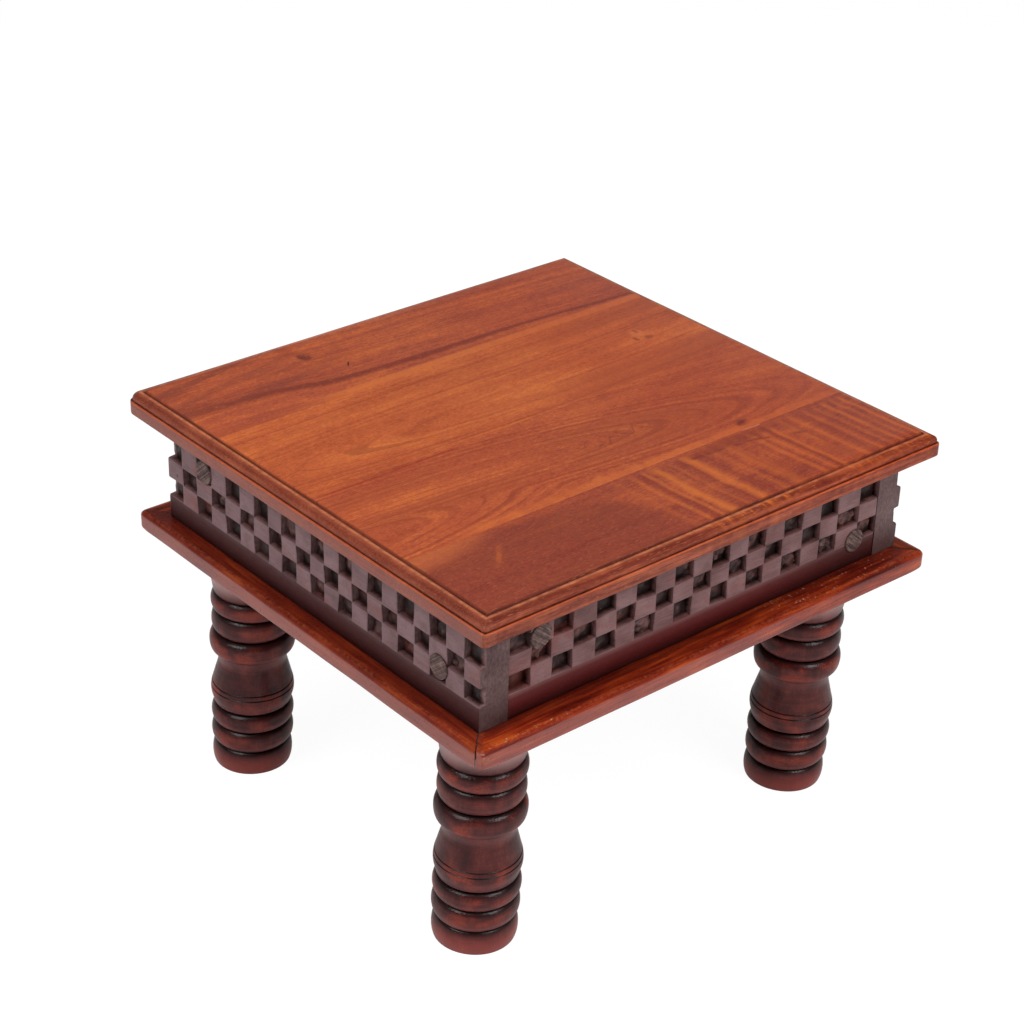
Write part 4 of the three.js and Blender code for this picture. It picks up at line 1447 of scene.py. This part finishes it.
def front_board():
    """Dark on its left, and on its right curly grain whose stripes run across the board."""
    board = TopBoard("top_board_front_wood")
    x, y, mottle = board.x, board.y, board.mottle
    board.figure(y + board.warp + board.depth, FRONT_TONES, rings=0.2)

    slant = x + (board.cloud - 0.5) * STRIPE_WANDER + (y - STRIPE_LEAN_START) * 0.06
    stripes = board.noise(BROKEN_SIZES, roughness=0.6).step(0.55, 0.75) * 0.25
    for place, reach, strength in STRIPES:
        stripes = stripes.larger(slant.near(place, reach * STRIPE_WIDENING) * strength * 0.85)
    on_right = x.step(*STRIPE_X) * y.step(SEAMS[0] - STRIPE_START, SEAMS[0] - STRIPE_FULL)
    shade = slant.rings(STRIPE_SHADE_RING, detail=2).step(0.55, 0.3)
    board.paint("#7e352b", 0.65, shade, on_right)
    strength = board.noise(STRIPE_LENGTH_SIZES, detail=2).step(0.2, 0.55) * 0.6 + 0.4
    board.paint("#cb7236", 0.85, stripes, on_right, strength)

    dark_edge = x.path(DARK_EDGE_PATH) + board.warp * 0.3
    dark = y.step(dark_edge + DARK_ABOVE, dark_edge - DARK_BELOW) * x.step(*DARK_X)
    bare = board.spot(*BARE_SPOT)
    clouded = board.cloud.step(0.3, 0.6) * 0.35 + 0.42
    fibred = board.fibre.step(0.35, 0.6) * 0.4 + 0.6
    board.paint("#6e332c", 1, dark, clouded, 1 - bare * 0.8, fibred)
    board.paint("#b4663f", 0.5, bare)

    wave = (y + board.warp * 0.6).near(x.path(WAVY_LINE_PATH), WAVY_LINE_REACH)
    board.paint("#6c2a20", 0.7, wave, mottle.step(0.35, 0.6), x.within(*WAVY_LINE_X))
    board.paint("#7e3527", 0.6, board.spot(*DARK_SPOT))

    curl_lean = abs((x - CURL[0]) * 0.75 - (y - CURL[1]) * 0.66 + board.warp * 0.5)
    board.paint("#b86034", 0.5, curl_lean.step(*CURL_EDGE), board.spot(*CURL), mottle.step(0.3, 0.6))
    scratch = (y + x * 0.04).near(SCRATCH_HEIGHT, SCRATCH_REACH) * x.within(*SCRATCH_X)
    board.paint("#dca287", 0.8, scratch, mottle.step(0.35, 0.5))

    lick = board.noise(LICK_SIZES, roughness=0.6, at=(x + y * 0.4, y, board.z))
    places = x.within(*LICK_LEFT_X) * 0.85 + x.within(*LICK_RIGHT_X) * 0.65
    return board.finish_board(lick.step(0.46, 0.62) * places)


# Wood of the aprons. The noises run along the grain, up and across it.

APRON_SIDE_BLUR = 0.0002
APRON_SAW_SIZES = (0.02, 0.0005, 0.002)
APRON_FIBRE_SIZES = (0.012, 0.0009, 0.0009)
APRON_CLOUD_SIZES = (0.03, 0.02, 0.02)
APRON_PATCH_SIZES = (0.011, 0.009, 0.01)
APRON_STAIN_SIZES = (0.05, 0.02, 0.02)
APRON_END_SIZES = (0.0018, 0.0018, 0.003)
APRON_BLOTCH_SIZE = 0.006
APRON_SPECK_SIZE = 0.0014
FACE_TONES = ((0.3, "#573738"), (0.45, "#745151"), (0.6, "#866465"))
HOLLOW_TONES = ((0.3, "#2b1917"), (0.5, "#523633"), (0.7, "#734f4b"))
STRIP_TONES = ((0.0, "#170000"), (0.45, "#4a0605"), (0.8, "#591b1a"), (1.0, "#6b4342"))
APRON_END_TONES = ((0.35, "#42292a"), (0.5, "#5f4544"), (0.65, "#745a59"))
HOLLOW_DEPTHS = (0.0006, 0.003)
SCUFF_DEPTHS = (0.001, 0.0025)
ROUGH_DEPTHS = (0.001, 0.003)
STAIN_LEFT_X = (-0.11, -0.16)
STAIN_ABOVE, STAIN_BELOW = 0.045, 0.03
STRIP_ABOVE, STRIP_BELOW = 0.0008, 0.0004
STRIP_RIGHT_X = (0.02, 0.16)
END_FOOT_RISE = 0.035
APRON_BUMP = 0.0004


def carved_wood():
    """Dark stained wood of the aprons: sawn raised cells, rough pockets with painted shade deep in
    them, bare end grain.
    """
    wood = Graph("apron_wood", BOX_MIDDLE)
    x, y, z = wood.x, wood.y, wood.z
    is_long = abs(x).step(INSIDE_HALF.x - APRON_SIDE_BLUR, INSIDE_HALF.x)
    grain = (x + (y - x) * is_long, z, y + (x - y) * is_long)
    depth = (APRON_HALF.x - abs(x)).smaller(APRON_HALF.y - abs(y))
    saw = wood.noise(APRON_SAW_SIZES, detail=2, at=grain)
    fibre = wood.noise(APRON_FIBRE_SIZES, roughness=0.7, at=grain)
    cloud = wood.noise(APRON_CLOUD_SIZES, at=grain)
    patch = wood.noise(APRON_PATCH_SIZES, detail=2, at=grain)
    blotch = wood.noise(APRON_BLOTCH_SIZE, detail=4, roughness=0.65)
    speck = wood.noise(APRON_SPECK_SIZE, detail=2)

    face = wood.ramp(cloud * 0.6 + saw * 0.35 + fibre * 0.25 - 0.1, FACE_TONES)
    face = wood.mix(face, "#7b666c", 0.3, is_long)
    face = wood.mix(face, "#5d3f3d", 0.4, patch.step(0.52, 0.7))
    face = wood.mix(face, "#3d2625", 0.5, speck.step(0.4, 0.28))
    hollow = wood.ramp(blotch, HOLLOW_TONES)
    hollow = wood.mix(hollow, "#752f29", 0.6, blotch.step(0.52, 0.7), cloud.step(0.45, 0.6))
    # Painted shade: near black at the bottom of the deepest pockets.
    hollow = wood.mix(hollow, "#080303", 0.85, depth.step(POCKET_DEPTH * 0.6, POCKET_DEPTH * 0.92))
    wood.colour = wood.mix(face, hollow, 1, depth.step(*HOLLOW_DEPTHS))

    stain = wood.noise(APRON_STAIN_SIZES, detail=2, at=grain).step(0.56, 0.7)
    at_left = x.step(*STAIN_LEFT_X) * z.step(APRON_LOW.z + STAIN_ABOVE, APRON_LOW.z + STAIN_BELOW)
    stain = stain.larger(at_left * (1 - is_long))
    wood.paint("#7c3a31", 0.4, stain, blotch.step(0.3, 0.55))

    strip_height = (APRON_HIGH.z - APRON_LOW.z) * PLAIN_STRIP_SHARE
    strip_top = APRON_LOW.z + strip_height
    tone = wood.ramp((z - APRON_LOW.z) / strip_height, STRIP_TONES)
    tone = wood.mix(tone, "#1e0203", 0.6, is_long)
    tone = wood.mix(tone, "#220808", 0.55, x.step(*STRIP_RIGHT_X))
    wood.paint(tone, 1, z.step(strip_top + STRIP_ABOVE, strip_top - STRIP_BELOW))

    end_grit = wood.noise(APRON_END_SIZES, detail=4, roughness=0.7)
    tone = wood.ramp(end_grit * 0.55 + cloud * 0.45, APRON_END_TONES)
    tone = wood.mix(tone, "#2b1211", 0.55, z.step(APRON_LOW.z + END_FOOT_RISE, APRON_LOW.z))
    wood.paint(tone, 1, is_long, abs(wood.facing_y).step(0.5, 0.8))

    wood.paint("#a58f86", 0.35, speck.step(0.68, 0.8), depth.step(*SCUFF_DEPTHS))
    rough_hollow = depth.step(*ROUGH_DEPTHS) * (blotch + speck * 0.4)
    return wood.finish(
        blotch * 0.3 + 0.32, saw * 0.35 + fibre * 0.3 + rough_hollow, APRON_BUMP, coat=0.1,
        coat_roughness=0.25, specular=0.2)


# Wood of the rails. The noises run along the grain, across it and up.

RAIL_SIDE_BLUR = 0.0001
RAIL_STREAK_SIZES = (0.05, 0.0035, 0.0035)
RAIL_FIBRE_SIZES = (0.02, 0.0008, 0.0008)
RAIL_CLOUD_SIZES = (0.04, 0.02, 0.02)
RAIL_SAW_SIZES = (0.02, 0.01, 0.0006)
RAIL_CELL_SIZE = 0.0022
RAIL_TONES = ((0.2, "#4a0d05"), (0.42, "#741f0c"), (0.6, "#933212"), (0.8, "#b6501a"))
SHEEN_FADE_X = (-0.02, 0.12)
MITRE_LINE_X = (0, 0.1)
APRON_SHADOW = (0.011, 0.0145)
RAIL_TOP_BLUR = 0.001
RAIL_FRONT_Y = (0, -0.01)
SCUFF_RIGHT_X = (0.07, 0.15, 0.03)
SCUFF_LEFT_X = (-0.178, -0.12, 0.012)
RAIL_BUMP = 0.00025


def rail_wood():
    """Glossy red-brown wood with orange streaks along the grain and scuffed varnish, painted
    reflection of the floor on its sides and painted shadow of the aprons along its top.
    """
    wood = Graph("rail_wood", RAIL_MIDDLE)
    x, y, z = wood.x, wood.y, wood.z
    in_from_x = RAIL_HALF.x - abs(x)
    in_from_y = RAIL_HALF.y - abs(y)
    past_mitre = in_from_y - in_from_x
    is_side = past_mitre.step(-RAIL_SIDE_BLUR, RAIL_SIDE_BLUR)
    grain = (x + (y - x) * is_side, y + (x - y) * is_side, z)
    streak = wood.noise(RAIL_STREAK_SIZES, detail=4, roughness=0.6, at=grain)
    fibre = wood.noise(RAIL_FIBRE_SIZES, detail=2, at=grain)
    cloud = wood.noise(RAIL_CLOUD_SIZES, at=grain)
    cell = wood.noise(RAIL_CELL_SIZE, roughness=0.6)
    wood.colour = wood.ramp(blended((streak, 1.3), (cloud, 0.8), (fibre, 0.3)), RAIL_TONES)
    wood.paint("#5f231a", 0.45, is_side)
    # Painted reflection of the white floor: faces that don't look up paled pink, less towards the
    # right.
    floor_sheen = (fibre * 0.4 + 0.2) * (1 - x.step(*SHEEN_FADE_X) * 0.75)
    wood.paint("#a0645c", 1, wood.facing_z.step(0.35, 0.05), floor_sheen)
    wood.paint("#1a0603", 0.85, past_mitre.near(0, MITRE_GAP), x.step(*MITRE_LINE_X))

    edge = in_from_x.smaller(in_from_y)
    worn = edge.near(RAIL_ROUND_WIDTH * 0.6, RAIL_ROUND_WIDTH * 0.5) * cell.step(0.45, 0.6)
    wood.paint("#a35a3c", 0.4, worn, z.step(RAIL_HIGH.z - RAIL_ROUND_HEIGHT * 1.5, RAIL_HIGH.z))
    on_top = z.step(RAIL_HIGH.z - RAIL_TOP_BLUR, RAIL_HIGH.z)
    wood.paint("#3c100a", 0.45, edge.step(*APRON_SHADOW), on_top)

    near_right = x.within(*SCUFF_RIGHT_X) * edge.step(RAIL_ROUND_WIDTH * 0.5, RAIL_ROUND_WIDTH)
    near_left = x.within(*SCUFF_LEFT_X) * edge.near(RAIL_ROUND_WIDTH * 0.75, RAIL_ROUND_WIDTH * 0.7)
    on_front = y.step(*RAIL_FRONT_Y) * (1 - is_side)
    scuffs = cell.step(0.6, 0.68) * streak.step(0.4, 0.6) * near_right.larger(near_left) * on_front
    wood.paint("#c9a596", 0.8, scuffs)
    wood.paint("#b98874", 0.3, cell.step(0.71, 0.76))

    saw = wood.noise(RAIL_SAW_SIZES, detail=2, at=grain)
    return wood.finish(
        cell * 0.2 + 0.2 + scuffs * 0.3, fibre * 0.4 + cell * 0.6 + saw * 0.3, RAIL_BUMP,
        coat=0.3, coat_roughness=0.14, specular=0.15)


# Wood of the legs

LEG_CREASES = [FOOT_SHARES[1]] + [shares[1] for shares in LOW_BEAD_SHARES + HIGH_BEAD_SHARES]
LEG_CREASES += [HIGH_BEAD_SHARES[0][0], WIDE_BEAD_SHARES[0]]
LEG_GRAIN_SIZES = (0.008, 0.008, 0.06)
LEG_FIBRE_SIZES = (0.0012, 0.0012, 0.014)
LEG_PATCH_SIZES = (0.018, 0.018, 0.012)
LEG_TURNING_SIZES = (0.05, 0.05, 0.0009)
LEG_SPECK_SIZES = (0.0011, 0.0011, 0.0008)
LEG_TONES = ((0.2, "#2a0d0d"), (0.42, "#471a19"), (0.6, "#5d2724"), (0.82, "#823a28"))
LEG_CREASE_SHADE_REACH = 0.0032
FOOT_HEIGHTS = (0.016, 0.004)
LEG_BUMP = 0.00032


def leg_wood():
    """Turned dark red-brown wood, rubbed orange on the beads, with painted shade near black in the
    creases and on faces that look up, and painted reflection of the floor below.
    """
    wood = Graph("leg_wood")
    x, y, z = wood.x, wood.y, wood.z
    from_x = abs(x - (z * LEAN + FOOT_SHIFT)) - (LEG_HEADS[1].x - HEAD_SHIFT)
    from_y = abs(y - HEADS_MIDDLE.y) - (HEADS_MIDDLE.y - LEG_HEADS[0].y)
    radius = from_x.beside(from_y)
    grain = wood.noise(LEG_GRAIN_SIZES, detail=4, roughness=0.6)
    fibre = wood.noise(LEG_FIBRE_SIZES, roughness=0.65)
    patch = wood.noise(LEG_PATCH_SIZES)
    turning = wood.noise(LEG_TURNING_SIZES, detail=2)
    speck = wood.noise(LEG_SPECK_SIZES, detail=2)
    figure = blended((grain, 0.6), (fibre, 0.25), (patch, 0.8), (turning, 0.35))
    wood.colour = wood.ramp(figure, LEG_TONES)
    # Painted shade on the faces that look up, which the top shades from above.
    wood.paint("#1f0709", 0.75, wood.facing_z.step(0.05, 0.6))
    # Painted reflection of the white floor on the faces that look down.
    wood.paint("#87494a", 0.4, wood.facing_z.step(-0.05, -0.6))
    bulge = radius.step(LEG_RADIUS * 0.9, LEG_RADIUS * 0.98)
    wood.paint("#96321a", 0.65, bulge, patch.step(0.48, 0.64), speck.step(0.35, 0.6))

    # Painted shade: near black in the creases between the beads.
    crease_shade = [z.near(share * SHOULDER, LEG_CREASE_SHADE_REACH) for share in LEG_CREASES]
    sunk = radius.step(LEG_RADIUS * 0.96, LEG_RADIUS * 0.85)
    wood.paint("#0c0302", 0.95, reduce(Value.larger, crease_shade), sunk)
    # Painted shade: dark in the incised lines.
    for share in INCISED_SHARES:
        line = z.near(share * SHOULDER, INCISED_HALF_WIDTH * 1.6)
        wood.paint("#120504", 0.85, line, grain.step(0.25, 0.5))
    # Painted reflection of the white floor: the collar, which faces down, paled mauve.
    collar_sheen = z.step(COLLAR_SHARES[1][1] * SHOULDER, COLLAR_SHARES[2][1] * SHOULDER)
    wood.paint("#a9827f", 0.85, collar_sheen)
    wood.paint("#9a443c", 0.6, z.step(*FOOT_HEIGHTS))
    return wood.finish(
        speck * 0.2 + fibre * 0.1 + 0.3, speck * 0.5 + turning * 0.3 + fibre * 0.3, LEG_BUMP,
        coat=0.28, coat_roughness=0.14, specular=0.1)


# Other wood, and steel

PEG_MARK_SIZES = (0.0011, 0.012, 0.05)
PEG_BLOTCH_SIZE = 0.004
PEG_SPECK_SIZE = 0.0006
PEG_TONES = ((0.3, "#1d0f0c"), (0.45, "#4a332e"), (0.58, "#6d534d"), (0.76, "#9c8079"))
PEG_SIDE = (-0.001, 0.0002)
PEG_BUMP = 0.0005
PLAIN_BLOTCH_SIZES = (0.02, 0.03, 0.02)
PLAIN_BUMP = 0.0002
PIN_GRAIN_SIZES = (0.001, 0.001, 0.001)
PIN_TONES = ((0.25, "#6b2c1c"), (0.5, "#9a5138"), (0.7, "#b87456"))
BATTEN_GRAIN_SIZES = (0.002, 0.05, 0.002)
BATTEN_TONES = ((0.25, "#6a4428"), (0.5, "#8a5f3e"), (0.7, "#a67c55"))
STEEL_BLOTCH_SIZE = 0.0015
STEEL_SCRATCH_SIZES = (0.0003, 0.0003, 0.003)
STEEL_BUMP = 0.0001
NAIL_TONES = ((0.3, "#2f2b29"), (0.5, "#5c5754"), (0.7, "#7a7470"))
SCREW_TONES = ((0.3, "#6e6247"), (0.5, "#a59a80"), (0.7, "#c4ba9c"))


def peg_wood():
    """Sawn end grain of the pegs, greyish, with darker saw marks and sides."""
    wood = Graph("peg_wood", BOX_MIDDLE)
    x, y, z = wood.x, wood.y, wood.z
    on_side = abs(wood.facing_x).step(0.4, 0.8)
    along = x + (y - x) * on_side
    lean = (along * on_side * 2 - along) * 0.75 + z * 0.66
    across = along * 0.66 + z * 0.75
    marks = wood.noise(PEG_MARK_SIZES, detail=2, at=(across, lean, x))
    blotch = wood.noise(PEG_BLOTCH_SIZE, detail=4, roughness=0.6)
    speck = wood.noise(PEG_SPECK_SIZE, detail=2)
    wood.colour = wood.ramp(marks * 0.75 + blotch * 0.4 - 0.08, PEG_TONES)
    proud = (APRON_HALF.x - abs(x)).smaller(APRON_HALF.y - abs(y))
    wood.paint("#35221e", 0.8, proud.step(*PEG_SIDE))
    wood.paint("#241915", 0.4, speck.step(0.68, 0.8))
    return wood.finish(
        blotch * 0.2 + 0.4, marks * 0.7 + speck * 0.3, PEG_BUMP, coat=0.1, coat_roughness=0.3)


def plain_wood(name, sizes, tones, rough, coat):
    """Wood with a simple grain, whose blobs have the given sizes."""
    wood = Graph(name)
    grain = wood.noise(sizes, detail=4, roughness=0.6)
    blotch = wood.noise(PLAIN_BLOTCH_SIZES)
    pore = wood.noise([size / 5 for size in sizes], detail=2)
    wood.colour = wood.ramp(grain * 0.7 + blotch * 0.4 - 0.05, tones)
    wood.paint(tones[0][1], 0.4, pore.step(0.6, 0.75))
    return wood.finish(pore * 0.2 + rough, grain * 0.5 + pore * 0.5, PLAIN_BUMP, coat=coat)


def steel(name, tones, rough):
    metal = Graph(name)
    blotch = metal.noise(STEEL_BLOTCH_SIZE, detail=4, roughness=0.65)
    scratch = metal.noise(STEEL_SCRATCH_SIZES, detail=2)
    metal.colour = metal.ramp(blotch, tones)
    return metal.finish(
        blotch * 0.3 + rough, scratch * 0.5 + blotch * 0.5, STEEL_BUMP, metallic=0.9)


def make_materials():
    return {
        "top_board_front": front_board(),
        "top_board_front_middle": front_middle_board(),
        "top_board_back_middle": back_middle_board(),
        "top_board_back": back_board(),
        "apron": carved_wood(),
        "rail": rail_wood(),
        "leg": leg_wood(),
        "peg": peg_wood(),
        "pin": plain_wood("pin_wood", PIN_GRAIN_SIZES, PIN_TONES, 0.35, 0.3),
        "batten": plain_wood("batten_wood", BATTEN_GRAIN_SIZES, BATTEN_TONES, 0.6, 0.0),
        "nail": steel("nail_steel", NAIL_TONES, 0.35),
        "screw": steel("screw_steel", SCREW_TONES, 0.25),
    }


# Surroundings

FLOOR_HALF = 12
FLOOR_GLOW_SHARE = 0.88
FLOOR_GLOW_STRENGTH = 1.09
FLOOR_GLOSSY_SHARE = 0.45


def add_stage():
    """A floor that the camera sees as white, and that lights and mirrors less than it seems."""
    vertices = [(x * FLOOR_HALF, y * FLOOR_HALF, 0) for x, y in CORNER_SIGNS]
    mesh = bpy.data.meshes.new("floor_mesh")
    mesh.from_pydata(vertices, [], [(0, 1, 2, 3)])
    graph = Graph("floor_white")
    graph.feed(graph.shader.inputs["Base Color"], "#ebebeb")
    graph.feed(graph.shader.inputs["Roughness"], 0.9)
    rays = graph.add("ShaderNodeLightPath")
    seen = graph.math("MULTIPLY", rays.outputs["Is Glossy Ray"], FLOOR_GLOSSY_SHARE)
    seen = seen.larger(rays.outputs["Is Camera Ray"]).larger(rays.outputs["Is Transmission Ray"])
    glow = graph.add("ShaderNodeEmission", Color=(1, 1, 1, 1), Strength=FLOOR_GLOW_STRENGTH)
    blend = graph.add("ShaderNodeMixShader")
    sources = (seen * FLOOR_GLOW_SHARE, graph.shader.outputs[0], glow.outputs[0])
    for socket, source in zip(blend.inputs, sources):
        graph.feed(socket, source)
    graph.feed(graph.tree.nodes["Material Output"].inputs["Surface"], blend.outputs[0])
    mesh.materials.append(graph.material)
    floor = put_in_scene("floor", mesh)


LAMP_AIM = Vector((0, 0, 0.15))

# Name, azimuth and elevation in degrees, distance and size in metres, watts
LAMPS = (
    ("left_lamp", -92, 44, 2.2, 0.9, 22),
    ("right_lamp", 8, 42, 2.2, 0.9, 25),
    ("high_lamp", -40, 80, 2.4, 1.6, 17),
)
SKY_LOW = 1.0
SKY_HIGH = 0.12
SKY_LOW_RISE = 0.04
SKY_HIGH_RISE = 0.26


def add_light():
    """Three soft square lamps, and a grey sky that is bright near the horizon."""
    for name, azimuth, elevation, distance, size, watts in LAMPS:
        data = bpy.data.lights.new(name, "AREA")
        data.size = size
        data.energy = watts
        direction = direction_of(azimuth, elevation)
        turn = direction.to_track_quat("Z", "Y").to_matrix().to_4x4()
        lamp = put_in_scene(name, data)
        lamp.matrix_world = Matrix.Translation(LAMP_AIM + direction * distance) @ turn
    world = bpy.data.worlds.new("studio")
    bpy.context.scene.world = world
    world.use_nodes = True
    tree = world.node_tree
    place = tree.nodes.new("ShaderNodeTexCoord")
    split = tree.nodes.new("ShaderNodeSeparateXYZ")
    tree.links.new(place.outputs["Generated"], split.inputs[0])
    fade = tree.nodes.new("ShaderNodeMapRange")
    fade.interpolation_type = "SMOOTHSTEP"
    for socket, value in zip(fade.inputs[1:5], (SKY_LOW_RISE, SKY_HIGH_RISE, SKY_LOW, SKY_HIGH)):
        socket.default_value = value
    tree.links.new(split.outputs["Z"], fade.inputs[0])
    tree.links.new(fade.outputs[0], tree.nodes["Background"].inputs["Color"])


def main():
    bpy.context.scene.view_settings.view_transform = "Standard"
    add_camera()
    add_stage()
    add_light()
    materials = make_materials()
    add_top(materials)
    add_aprons(materials["apron"])
    add_rails(materials["rail"])
    add_legs(materials["leg"])
    add_small_parts(materials)
    add_battens(materials["batten"])


main()
